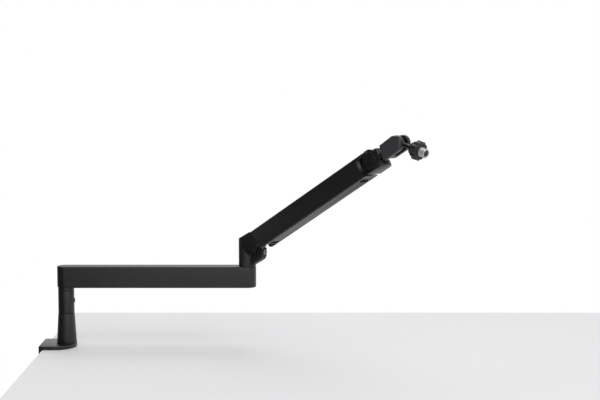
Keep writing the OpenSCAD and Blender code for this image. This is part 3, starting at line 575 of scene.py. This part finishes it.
knob = {"low": -136.0, "radius": 24.0, "waist": 17.5, "lobes": 6, "grips": 48, "gripDepth": 0.35,
        "gripFrom": 1.5, "gripTo": 13.0, "steps": 192,
        # share of the lobed outline and height, from the underside up
        "sides": [(0.93, 0.4), (0.985, 1.1), (1.0, 2.2), (1.0, 12.6), (0.985, 13.9), (0.93, 14.8),
                  (0.8, 15.2)],
        # radius and height: up the hub, down the screw's bore and through the bolt's recess
        "hub": [(14.0, 15.4), (13.0, 17.2), (10.6, 19.4), (10.0, 20.0), (5.4, 20.0), (5.02, 19.6),
                (5.02, 6.0), (2.3, 6.0), (2.3, 4.6), (5.0, 4.5), (5.0, 0.6), (5.6, 0.0), (14.0, 0.0)]}


def knobOutline(share, height):
    # soft lobes, with fine grips between the two rims
    def reach(angle):
        swing = 0.5 + 0.5 * math.cos(knob["lobes"] * angle)
        radius = (knob["waist"] + (knob["radius"] - knob["waist"]) * swing ** 0.7) * share
        if knob["gripFrom"] < height < knob["gripTo"]:
            radius -= knob["gripDepth"] * (0.5 + 0.5 * math.cos(knob["grips"] * angle))
        return radius
    return reach


grid = bmesh.new()
rows = [cornerRing(grid, knobOutline(share, height), knob["low"] + height, knob["steps"])
        for share, height in knob["sides"]]
rows += [cornerRing(grid, radius, knob["low"] + height, knob["steps"]) for radius, height in knob["hub"]]
skin(grid, rows, closed=True)
addPiece("handKnob", settled("handKnob", grid, deskPlace), "hand_knob", 40)

endBolt = {"low": -134.0, "neck": -131.5, "high": -121.0, "head": 4.4, "shank": 2.0, "edge": 0.8}
addTurned("screwEndBolt", "screw_end_bolt", [
    (0, endBolt["low"]), (endBolt["head"] - endBolt["edge"], endBolt["low"]),
    (endBolt["head"], endBolt["low"] + endBolt["edge"]), (endBolt["head"], endBolt["neck"]),
    (endBolt["shank"], endBolt["neck"]), (endBolt["shank"], endBolt["high"]), (0, endBolt["high"])], steps=48)

jaw = {"radius": 19.0, "hub": 9.6, "bore": 5.05, "low": -39.0, "high": -33.0, "roof": 0.5}
addTurned("pressurePad", "pressure_pad", [
    (jaw["bore"], jaw["low"]), (jaw["hub"], jaw["low"]), (jaw["hub"] + 0.8, jaw["low"] + 0.2),
    (jaw["radius"] - 1.2, jaw["low"] + 2.9), (jaw["radius"] - 0.4, jaw["low"] + 3.4),
    (jaw["radius"], jaw["low"] + 4.0), (jaw["radius"], jaw["high"] - 0.6), (jaw["radius"] - 0.5, jaw["high"]),
    (0, jaw["high"]), (0, jaw["high"] - jaw["roof"]), (jaw["bore"], jaw["high"] - jaw["roof"])], closed=True)
print("clamp made")


# Arms
arms = {"edge": 0.45, "castEdge": 0.45, "headEdge": 0.6, "wristEdge": 0.8, "forkEdge": 0.5, "blockEdge": 0.4}
addEased("baseArmShell", "base_arm_shell", arms["edge"])

# The wrist's recess has a slanted wall, from the arm's side down to the disc
scoop = {"deep": 9.25, "side": 16.25, "inner": 19.4, "outer": 22.6, "backing": 23.4, "overlap": 0.6,
         "top": 10.0, "low": -11.9, "steps": 96, "bend": 24}


def scoopTools(side):
    # a block that fills the recess's straight wall, and the cone that cuts it; hundredths of a millimetre
    # keep their faces off the shell's own
    filler = bmesh.new()
    rows = []
    for depth in (scoop["side"] - 0.06, scoop["deep"] + 0.04):
        points = []
        for radius, order in ((scoop["inner"] - scoop["overlap"], 1), (scoop["backing"], -1)):
            first = math.asin(scoop["top"] / radius) + 0.003
            last = math.asin(scoop["low"] / radius)
            turns = [first + (last - first) * i / scoop["bend"] for i in range(scoop["bend"] + 1)][::order]
            points += [(-radius * math.cos(a), radius * math.sin(a)) for a in turns]
        rows.append([filler.verts.new((x, side * depth, z)) for x, z in points])
    cone = bmesh.new()
    slope = (scoop["outer"] - scoop["inner"]) / (scoop["side"] - scoop["deep"])
    tips = []
    for depth in (scoop["side"] + 1.0, scoop["deep"] - 0.02):
        radius = scoop["inner"] + slope * (depth - scoop["deep"])
        angles = [2 * math.pi * i / scoop["steps"] for i in range(scoop["steps"])]
        points = [(radius * math.cos(a), min(radius * math.sin(a), scoop["top"])) for a in angles]
        tips.append([cone.verts.new((x, side * depth, z)) for x, z in points])
    made = []
    for grid, ends in ((filler, rows), (cone, tips)):
        skin(grid, ends)
        grid.faces.new(ends[0])
        grid.faces.new(ends[1][::-1])
        made.append(settled("scoopTool", grid, wristPlace))
    return [("UNION", made[0]), ("DIFFERENCE", made[1])]


upperShell = combined(mergedCopy("upper_arm_shell"), scoopTools(-1) + scoopTools(1))
addPiece("upperArmShell", eased(upperShell, arms["edge"]), "upper_arm_shell")
addEased("elbowTurret", "turret", arms["castEdge"])
addEased("wristFork", "wrist_fork", arms["forkEdge"])
addEased("wristLink", "wrist_link", arms["wristEdge"])
addEased("clampHead", "clamp_head", arms["headEdge"])
addEased("elbowBlock", "elbow_block", arms["blockEdge"])
print("castings and shells made")


# Channel covers with oval cable windows
cover = {"width": 25.9, "thick": 2.4, "windowWide": 20.0, "windowLong": 9.0, "inset": 3.0, "edge": 0.3,
         "lipFrom": 38.0, "lipGap": 7.0, "lipHigh": 2.0, "lipThick": 1.2, "lipIn": 1.1,
         # start, end and underside
         "base": (19.3, 321.1, 113.0), "upper": (46.8, 320.4, -22.5)}


def oval(x, y, long, wide, steps=12):
    # a slot across the arm with round ends
    r = long / 2
    reach = wide / 2 - r
    points = []
    for side, start in ((1, 0), (-1, math.pi)):
        for i in range(steps + 1):
            a = start + math.pi * i / steps
            points.append((x + r * math.cos(a), y + side * reach + r * math.sin(a)))
    return points


def coverMesh(name, start, end, low, place):
    grid = bmesh.new()
    half = cover["width"] / 2
    loops = [[(start, -half), (end, -half), (end, half), (start, half)]]
    inset = cover["inset"] + cover["windowLong"] / 2
    for x in (start + inset, end - inset):
        loops.append(oval(x, 0, cover["windowLong"], cover["windowWide"]))
    edges = []
    for loop in loops:
        corners = [grid.verts.new((x, y, low)) for x, y in loop]
        edges += [grid.edges.new(pair) for pair in zip(corners, corners[1:] + corners[:1])]
    bmesh.ops.triangle_fill(grid, use_beauty=True, use_dissolve=False, edges=edges, normal=(0, 0, -1))
    bmesh.ops.dissolve_limit(grid, angle_limit=0.01, verts=grid.verts, edges=grid.edges,
                             use_dissolve_boundaries=False)
    lifted = bmesh.ops.extrude_face_region(grid, geom=list(grid.faces))
    for v in (g for g in lifted["geom"] if isinstance(g, bmesh.types.BMVert)):
        v.co.z += cover["thick"]
    middle = (start + end) / 2
    for s in (-1, 1):
        y = s * (half - cover["lipIn"])
        for first, last in ((start + cover["lipFrom"], middle - cover["lipGap"]),
                            (middle + cover["lipGap"], end - cover["lipFrom"])):
            prism(grid, [(first, y - cover["lipThick"] / 2), (last, y - cover["lipThick"] / 2),
                         (last, y + cover["lipThick"] / 2), (first, y + cover["lipThick"] / 2)],
                  low + cover["thick"] - 0.01, low + cover["thick"] + cover["lipHigh"])
    return eased(settled(name, grid, place), cover["edge"])


addPiece("baseChannelCover", coverMesh("baseChannelCover", *cover["base"], deskPlace), "base_cover")
addPiece("upperChannelCover", coverMesh("upperChannelCover", *cover["upper"], armPlace), "upper_cover")
print("channel covers made")


# Elbow and wrist caps, and washers
def bothSides(profile, steps=96, closed=False):
    # one turned shape on each side of the arm
    return spin(spin(bmesh.new(), profile, steps, acrossTurn, closed), profile, steps, nearTurn, closed)


elbowCap = {"radius": 14.98, "under": 6.42, "top": 7.9, "rim": 12.6}
radius, under, top = elbowCap["radius"], elbowCap["under"], elbowCap["top"]
profile = [(0, under), (radius - 0.08, under), (radius, under + 0.08), (radius, top - 0.35),
           (radius - 0.18, top - 0.12), (radius - 0.58, top - 0.02), (elbowCap["rim"], top),
           (elbowCap["rim"] - 0.4, top - 0.16), (0, top - 0.2)]
addPiece("elbowCaps", settled("elbowCaps", bothSides(profile), armPlace), "elbow_caps", 24)

wristCap = {"radius": 15.58, "under": 6.42, "rim": 8.0, "top": 8.8, "grooves": (11.0, 6.5), "grooveWide": 1.0,
            "grooveDeep": 0.46}
radius, under, rim, top = wristCap["radius"], wristCap["under"], wristCap["rim"], wristCap["top"]
profile = [(0, under), (radius - 0.08, under), (radius, under + 0.08), (radius, rim - 0.2),
           (radius - 0.18, rim), (radius - 0.83, rim + 0.03), (radius - 1.08, rim + 0.25),
           (radius - 1.28, top - 0.18), (radius - 1.68, top - 0.01)]
for inner in wristCap["grooves"]:
    outer = inner + wristCap["grooveWide"]
    profile += [(outer + 0.15, top), (outer, top - 0.12), (outer - 0.05, top - wristCap["grooveDeep"]),
                (inner + 0.05, top - wristCap["grooveDeep"]), (inner, top - 0.12), (inner - 0.15, top)]
profile.append((0, top))
addPiece("wristCaps", settled("wristCaps", bothSides(profile, 128), wristPlace), "wrist_caps", 24)

hinge = {"inner": 4.02, "outer": 4.58, "edge": 0.1,
         # radius and bore of a washer
         "elbow": (13.0, 4.02), "wrist": (12.0, 3.52)}
for name, node, (radius, bore), place in (("elbowWashers", "elbow_washers", hinge["elbow"], armPlace),
                                          ("wristWashers", "wrist_washers", hinge["wrist"], wristPlace)):
    profile = [(bore, hinge["inner"]), (radius - hinge["edge"], hinge["inner"]),
               (radius, hinge["inner"] + hinge["edge"]), (radius, hinge["outer"] - hinge["edge"]),
               (radius - hinge["edge"], hinge["outer"]), (bore, hinge["outer"])]
    addPiece(name, settled(name, bothSides(profile, 72, closed=True), place), node)
print("caps and washers made")


# Screw heads with a sunk hexagon
def socketHead(radius, height, key, depth, shank, shankLength, rim=0.35, edge=0.12):
    # head up from z 0, hexagon sunk in its top, shank downwards; drawn in millimetres
    def hexagon(angle):
        return key / 2 / math.cos((angle % (math.pi / 3)) - math.pi / 6)

    grid = bmesh.new()
    profile = [(shank, -shankLength), (shank, 0), (radius - 0.1, 0), (radius, edge), (radius, height - rim),
               (radius - edge, height - edge), (radius - rim, height),
               (lambda angle: hexagon(angle) + edge, height), (hexagon, height - edge),
               (hexagon, height - depth)]
    rows = [cornerRing(grid, reach, z, 48) for reach, z in profile]
    skin(grid, rows)
    fan(grid, rows[0], (0, 0, -shankLength))
    fan(grid, rows[-1], (0, 0, height - depth - 0.3))      # the drill's point
    return grid


tension = {"ahead": 31.5, "up": -13.6, "gap": 0.3,
           "head": {"radius": 4.25, "height": 2.8, "key": 4.0, "depth": 1.9, "shank": 2.5,
                    "shankLength": 12.3}}
tipPlace = turretPlace @ Matrix.Translation((tension["ahead"] * mm, 0, tension["up"] * mm)) @ alongTurn
grid = socketHead(**tension["head"])
grid.transform(Matrix.Translation((0, 0, tension["gap"])))
addPiece("tensionScrew", settled("tensionScrew", grid, tipPlace), "tension_screw")


# Wrist swivel and lever
swivel = {"from": 24.3, "to": 35.8, "radius": 9.2, "core": 8.3, "bore": 7.02, "ribs": 5, "ribWide": 1.2,
          "ribEdge": 0.3, "sunk": 0.05}
grid = spin(bmesh.new(), [
    (swivel["bore"], swivel["from"]), (swivel["core"], swivel["from"]), (swivel["core"], swivel["to"]),
    (swivel["bore"], swivel["to"])], turn=alongTurn, closed=True)
pitch = (swivel["to"] - swivel["from"] - swivel["ribWide"]) / (swivel["ribs"] - 1)
foot, edge = swivel["core"] - swivel["sunk"], swivel["radius"] - swivel["ribEdge"]
for i in range(swivel["ribs"]):
    low = swivel["from"] + i * pitch
    high = low + swivel["ribWide"]
    spin(grid, [(foot, low), (edge, low + 0.02), (swivel["radius"], low + swivel["ribEdge"]),
                (swivel["radius"], high - swivel["ribEdge"]), (edge, high - 0.02), (foot, high)],
         turn=alongTurn, closed=True)
addPiece("swivelCollar", settled("swivelCollar", grid, swivelPlace), "swivel_collar")

lever = {"face": -11.6, "round": 2.2, "middle": (3.0, -1.5), "crown": 5.16,
         "outline": [(-21.5, -13), (-18.5, 12), (15, 13.4), (29.5, 5), (19, -15), (-18.5, -16)],
         # how far the outline is drawn in, and at what height, from the back to the crowned face
         "layers": [(0.6, 0.0), (0.0, 0.4), (0.0, 3.9), (0.2, 4.3), (0.6, 4.6), (1.2, 4.74), (5.0, 4.86),
                    (12.0, 5.02), (18.0, 5.12)]}


def roundedOutline(points, radius, steps=6):
    # the corners of a flat outline rounded by an arc
    made = []
    for i, here in enumerate(points):
        here = Vector(here)
        before = (Vector(points[i - 1]) - here).normalized()
        after = (Vector(points[(i + 1) % len(points)]) - here).normalized()
        half = before.angle(after) / 2
        reach = radius / math.tan(half)
        centre = here + (before + after).normalized() * (radius / math.sin(half))
        first, last = here + before * reach - centre, here + after * reach - centre
        sweep = first.angle_signed(last)
        for k in range(steps + 1):
            a = -sweep * k / steps
            made.append((centre.x + first.x * math.cos(a) - first.y * math.sin(a),
                         centre.y + first.x * math.sin(a) + first.y * math.cos(a)))
    return made


def drawnIn(points, inset, centre):
    # an outline drawn towards its middle, by a distance at its widest
    widest = max((Vector(p) - centre).length for p in points)
    share = 1 - inset / widest
    return [tuple(centre + (Vector(p) - centre) * share) for p in points]


shape = roundedOutline(lever["outline"], lever["round"])
grid = bmesh.new()
rows = [[grid.verts.new((x, y, height)) for x, y in drawnIn(shape, inset, Vector(lever["middle"]))]
        for inset, height in lever["layers"]]
skin(grid, rows)
grid.faces.new(rows[0])
fan(grid, rows[-1], (*lever["middle"], lever["crown"]))
leverTurn = leverPlace @ Matrix.Translation((0, lever["face"] * mm, 0)) @ nearTurn
addPiece("thumbLever", settled("thumbLever", grid, leverTurn), "thumb_lever", 30)
print("wrist made")


# Ball stud, lock nut and thread
ballStud = {"ball": 9.0, "neck": 4.0, "stud": 4.7, "studFrom": 28.0, "end": 60.0, "edge": 0.6}
ball, neck, end = ballStud["ball"], ballStud["neck"], ballStud["end"]
profile = [(0, -ball)]
profile += [(ball * math.sin(math.radians(a)), -ball * math.cos(math.radians(a))) for a in range(6, 152, 6)]
profile += [(neck + 0.25, ball - 0.7), (neck + 0.02, ball), (neck, ball + 1), (neck, ballStud["studFrom"]),
            (ballStud["stud"], ballStud["studFrom"] + 0.2), (ballStud["stud"], end - ballStud["edge"]),
            (ballStud["stud"] - ballStud["edge"], end), (0, end)]
addTurned("ballStud", "ball_stud", profile, studPlace, turn=alongTurn, smooth=24)

collar = {"radius": 11.0, "from": 27.0, "to": 35.0, "nose": 6.9, "bore": 4.05, "frontBore": 4.75,
          "grooveFrom": 30.2, "grooveTo": 31.9, "grooveDeep": 0.4}
radius, groove = collar["radius"], collar["radius"] - collar["grooveDeep"]
addTurned("studCollar", "stud_collar", [
    (collar["bore"], collar["from"]), (collar["nose"], collar["from"]),
    (collar["nose"] + 0.4, collar["from"] + 0.12),
    (radius - 0.5, collar["from"] + 1.3), (radius - 0.1, collar["from"] + 1.6), (radius, collar["from"] + 2),
    (radius, collar["grooveFrom"]), (groove, collar["grooveFrom"] + 0.3), (groove, collar["grooveTo"] - 0.3),
    (radius, collar["grooveTo"]), (radius, collar["to"] - 0.6), (radius - 0.2, collar["to"] - 0.2),
    (radius - 0.6, collar["to"]), (collar["frontBore"], collar["to"])],
    studPlace, turn=alongTurn, closed=True, smooth=26)

nut = {"from": 36.0, "lobes": 12, "mean": 15.95, "swing": 0.8, "steps": 192,
       # share of the wave, radius lost and height, round the outside from the back to the dished front
       "outside": [(0.0, 3.4, 0.0), (0.3, 1.3, 0.1), (0.8, 0.35, 0.5), (1.0, 0.0, 1.2), (1.0, 0.0, 9.2),
                   (0.9, 0.2, 9.7), (0.5, 1.2, 10.3), (0.0, 1.9, 10.6), (0.0, 1.7, 11.2), (0.0, 1.9, 11.8),
                   (0.0, 2.4, 12.0), (0.0, 3.2, 12.0), (0.0, 3.6, 11.8), (0.0, 4.9, 10.6), (0.0, 5.5, 10.5)],
       # radius and height, back through the bore
       "inside": [(8.3, 10.5), (7.99, 10.8), (7.99, 0.4), (8.3, 0.0)]}
grid = bmesh.new()
rows = []
for wave, less, height in nut["outside"]:
    lobed = lambda a: nut["mean"] - less + wave * nut["swing"] * math.cos(nut["lobes"] * a)
    rows.append(cornerRing(grid, lobed, height, nut["steps"]))
for radius, height in nut["inside"]:
    rows.append(cornerRing(grid, radius, height, nut["steps"]))
skin(grid, rows, closed=True)
grid.transform(alongTurn @ Matrix.Translation((0, 0, nut["from"])))
addPiece("lockNut", settled("lockNut", grid, studPlace), "lock_nut", 30)

# 5/8 inch, 27 turns to the inch
adaptor = {"root": 7.42, "radius": 7.94, "pitch": 0.94, "ridge": 0.44, "play": 0.0, "steps": 64, "bore": 4.72,
           "from": 35.02, "to": 59.0, "plainTo": 48.3, "relief": 7.2, "threadFrom": 49.4, "threadTo": 58.2}
root, radius, bore, plainTo = adaptor["root"], adaptor["radius"], adaptor["bore"], adaptor["plainTo"]
grid = spin(bmesh.new(), [
    (bore, adaptor["from"]), (radius - 0.54, adaptor["from"]), (radius - 0.04, adaptor["from"] + 0.38),
    (radius - 0.01, adaptor["from"] + 0.98), (radius - 0.01, plainTo), (radius - 0.34, plainTo + 0.3),
    (adaptor["relief"], plainTo + 0.5), (adaptor["relief"], plainTo + 0.7),
    (root, adaptor["threadFrom"] - 0.2), (root, adaptor["threadTo"]), (root - 0.52, adaptor["to"]),
    (bore + 0.48, adaptor["to"]),
    (bore, adaptor["to"] - 0.5)], closed=True)
thread = threaded("threadAdaptor", "zinc_thread", grid, adaptor)
thread.transform(alongTurn)
addPiece("threadAdaptor", placedMesh(thread, studPlace), "thread_adaptor")
print("stud made")


# Inside the upper arm
spring = {"radius": 7.5, "wire": 0.98, "turns": 22.0, "from": 110.0, "long": 130.0}
coil = ranTree(helixTree, bpy.data.meshes.new("noBody"), {
    "Radius": spring["radius"], "Turns": spring["turns"], "Rise": spring["long"] - 2 * spring["wire"],
    "Steps": 40, "Width": spring["wire"], "Round": True}, "spring_steel", "balanceSpring")
coil.transform(alongTurn @ Matrix.Translation((0, 0, spring["from"] + spring["wire"])))
springEnds = [jointPoint("arm_tilt") + alongArm * (ahead * mm)
              for ahead in (spring["from"], spring["from"] + spring["long"])]
addPiece("balanceSpring", placedMesh(coil, armPlace), "balance_spring",
         between=("upper_arm", "push_rod", *springEnds))
print("spring made")


# Small fasteners
fasteners = {
    "block": {"radius": 1.48, "height": 0.9, "key": 1.5, "depth": 0.8, "shank": 1.4, "shankLength": 8.0,
              "rim": 0.2},
    "plate": {"radius": 5.0, "height": 2.5, "key": 3.0, "depth": 1.6, "shank": 2.5, "shankLength": 11.4,
              "rim": 0.15},
    "shaft": {"radius": 5.5, "height": 4.38, "key": 5.0, "depth": 2.6, "shank": 3.0, "shankLength": 14.0},
    "blockAt": (33.5, 325.7), "blockTop": 15.4, "plateCount": 4, "plateRing": 14.2, "plateSeat": 2.1}
pair = bmesh.new()
for ahead in fasteners["blockAt"]:
    screw = rawMesh("blockScrew", socketHead(**fasteners["block"]))
    screw.transform(Matrix.Translation((ahead, 0, fasteners["blockTop"] - fasteners["block"]["height"])))
    pair.from_mesh(screw)
addPiece("blockScrews", settled("blockScrews", pair, armPlace), "block_screws")

plate = fasteners["plate"]
sunk = socketHead(**plate)
for v in sunk.verts:      # the head narrows towards the shank
    if -0.01 < v.co.z < plate["height"] - 0.2 and v.co.xy.length > plate["radius"] - 1:
        v.co.xy *= 1 - 0.5 * (1 - v.co.z / plate["height"])
screw = scratchObject(rawMesh("plateScrew", sunk))
screw.data.transform(Matrix.Rotation(math.pi, 4, "X"))
ringOfScrews = ranTree(ringTree, bpy.data.meshes.new("noBody"),
                       {"Piece": screw, "Count": fasteners["plateCount"], "Radius": fasteners["plateRing"],
                        "Turn": math.radians(45)}, "screw_black", "plateScrews")
ringOfScrews.transform(Matrix.Translation((0, 0, fasteners["plateSeat"] + plate["height"])))
addPiece("plateScrews", placedMesh(ringOfScrews, deskPlace), "socket_screws")
bpy.data.objects.remove(screw)

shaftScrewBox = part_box("shaft_screw")
middle = (shaftScrewBox[0] + shaftScrewBox[1]) / 2
underPlace = Matrix.Translation((middle.x, middle.y, shaftScrewBox[0].z)) @ Matrix.Rotation(math.pi, 4, "X")
grid = socketHead(**fasteners["shaft"])
grid.transform(Matrix.Translation((0, 0, -fasteners["shaft"]["height"])))
addPiece("shaftScrew", settled("shaftScrew", grid, underPlace), "shaft_screw")

leverNut = {"corner": 4.8, "bore": 2.56, "from": 8.4, "thick": 2.6, "edge": 0.3, "narrow": 0.93}
grid = bmesh.new()
rows = [cornerRing(grid, leverNut["corner"] * share, height, 6) for share, height in (
    (leverNut["narrow"], 0.0), (1.0, leverNut["edge"]), (1.0, leverNut["thick"] - leverNut["edge"]),
    (leverNut["narrow"], leverNut["thick"]))]
rows += [cornerRing(grid, leverNut["bore"], height, 6) for height in (leverNut["thick"], 0.0)]
skin(grid, rows, closed=True)
grid.transform(acrossTurn @ Matrix.Translation((0, 0, leverNut["from"])))
addPiece("leverNut", settled("leverNut", grid, leverPlace), "lever_nut")

for name, node, width in (("platePad", "plate_pad", 0.3), ("webPad", "web_pad", 0.4),
                          ("jawRubber", "jaw_rubber", 0.3)):
    addEased(name, node, width)
print("fasteners and pads made")


# Stage, light and camera
desk = {"left": -0.0412, "right": 2.4, "front": -1.7, "back": 0.36, "thick": 0.0298, "edge": 0.0012,
        "dark": "#dadadc", "light": "#dededf", "cloud": 500.0}
grid = bmesh.new()
bmesh.ops.create_cube(grid, size=1.0)
for v in grid.verts:
    v.co.x = desk["right"] if v.co.x > 0 else desk["left"]
    v.co.y = desk["back"] if v.co.y > 0 else desk["front"]
    v.co.z = 0.0 if v.co.z > 0 else -desk["thick"]
bmesh.ops.bevel(grid, geom=list(grid.edges), offset=desk["edge"], segments=2, affect="EDGES")
deskMesh = bpy.data.meshes.new("deskTop")
grid.to_mesh(deskMesh)
grid.free()
deskTop = bpy.data.objects.new("deskTop", deskMesh)
bpy.context.scene.collection.objects.link(deskTop)
deskPaint, tree, shader, place = blankMaterial("whiteLacqueredDesk")
tree.links.new(cloudedColour(tree, place, desk, 1.0), shader.inputs["Base Color"])
shader.inputs["Roughness"].default_value = 0.7
shader.inputs["Specular IOR Level"].default_value = 0.2
deskMesh.materials.append(deskPaint)

world = bpy.data.worlds.new("studio")
bpy.context.scene.world = world
world.use_nodes = True
tree = world.node_tree
tree.nodes.clear()
lightPath = addNode(tree, "ShaderNodeLightPath")
direction = addNode(tree, "ShaderNodeTexCoord")
axes = addNode(tree, "ShaderNodeSeparateXYZ", None, {"Vector": direction.outputs["Generated"]})
glows = {  # where along each axis the glow starts and is full, and its least and most
    "X": (-0.5, 0.3, 0.1, 0.85),
    "Y": (0.3, 0.9, 0.0, 0.8),
    "Z": (0.3, 0.9, 0.0, 0.3),
}
sky = 0.0
for axis, (start, full, least, most) in glows.items():
    glow = addNode(tree, "ShaderNodeMapRange", None, {"Value": axes.outputs[axis], "From Min": start,
                                                      "From Max": full, "To Min": least, "To Max": most})
    total = addNode(tree, "ShaderNodeMath", {"operation": "ADD"}, {0: sky, 1: glow.outputs["Result"]})
    sky = total.outputs["Value"]
ambient = addNode(tree, "ShaderNodeBackground", None, {"Color": sky, "Strength": 0.9})
white = addNode(tree, "ShaderNodeBackground", None, {"Color": (1, 1, 1, 1), "Strength": 1.0})
seen = addNode(tree, "ShaderNodeMath", {"operation": "MAXIMUM"},
               {0: lightPath.outputs["Is Camera Ray"], 1: lightPath.outputs["Is Transmission Ray"]})
both = addNode(tree, "ShaderNodeMixShader", None,
               {"Fac": seen.outputs["Value"], 1: ambient.outputs["Background"],
                2: white.outputs["Background"]})
addNode(tree, "ShaderNodeOutputWorld", None, {"Surface": both.outputs["Shader"]})

lamps = {  # place, what it points at, width in metres, watts
    "keyBox": ((1.9, -2.2, 2.4), (0.3, 0.0, 0.2), 1.6, 26.0),
    "topBox": ((0.2, 0.9, 2.6), (0.3, 0.0, 0.1), 2.2, 20.0),
    "frontBox": ((0.5, -3.2, 1.0), (0.2, 0.0, 0.2), 1.8, 12.0),
}
for name, (spot, aim, width, watts) in lamps.items():
    light = bpy.data.lights.new(name, "AREA")
    light.shape = "SQUARE"
    light.size = width
    light.energy = watts
    lamp = bpy.data.objects.new(name, light)
    lamp.location = spot
    lamp.rotation_euler = (Vector(aim) - Vector(spot)).to_track_quat("-Z", "Y").to_euler()
    bpy.context.scene.collection.objects.link(lamp)

# The photograph's view: 1450 pixels of focal length on 600, level but for the tilt downwards
view = {"sensor": 36, "lens": 87, "place": (0.4388, -2.6915, 0.544), "down": 5.67, "nearest": 0.01}
lens = bpy.data.cameras.new("photoCamera")
lens.sensor_width = view["sensor"]
lens.lens = view["lens"]
lens.clip_start = view["nearest"]
camera = bpy.data.objects.new("photoCamera", lens)
camera.location = view["place"]
camera.rotation_euler = (math.radians(90 - view["down"]), 0, 0)
bpy.context.scene.collection.objects.link(camera)
bpy.context.scene.camera = camera
bpy.context.scene.view_settings.view_transform = "Standard"
print("stage set")
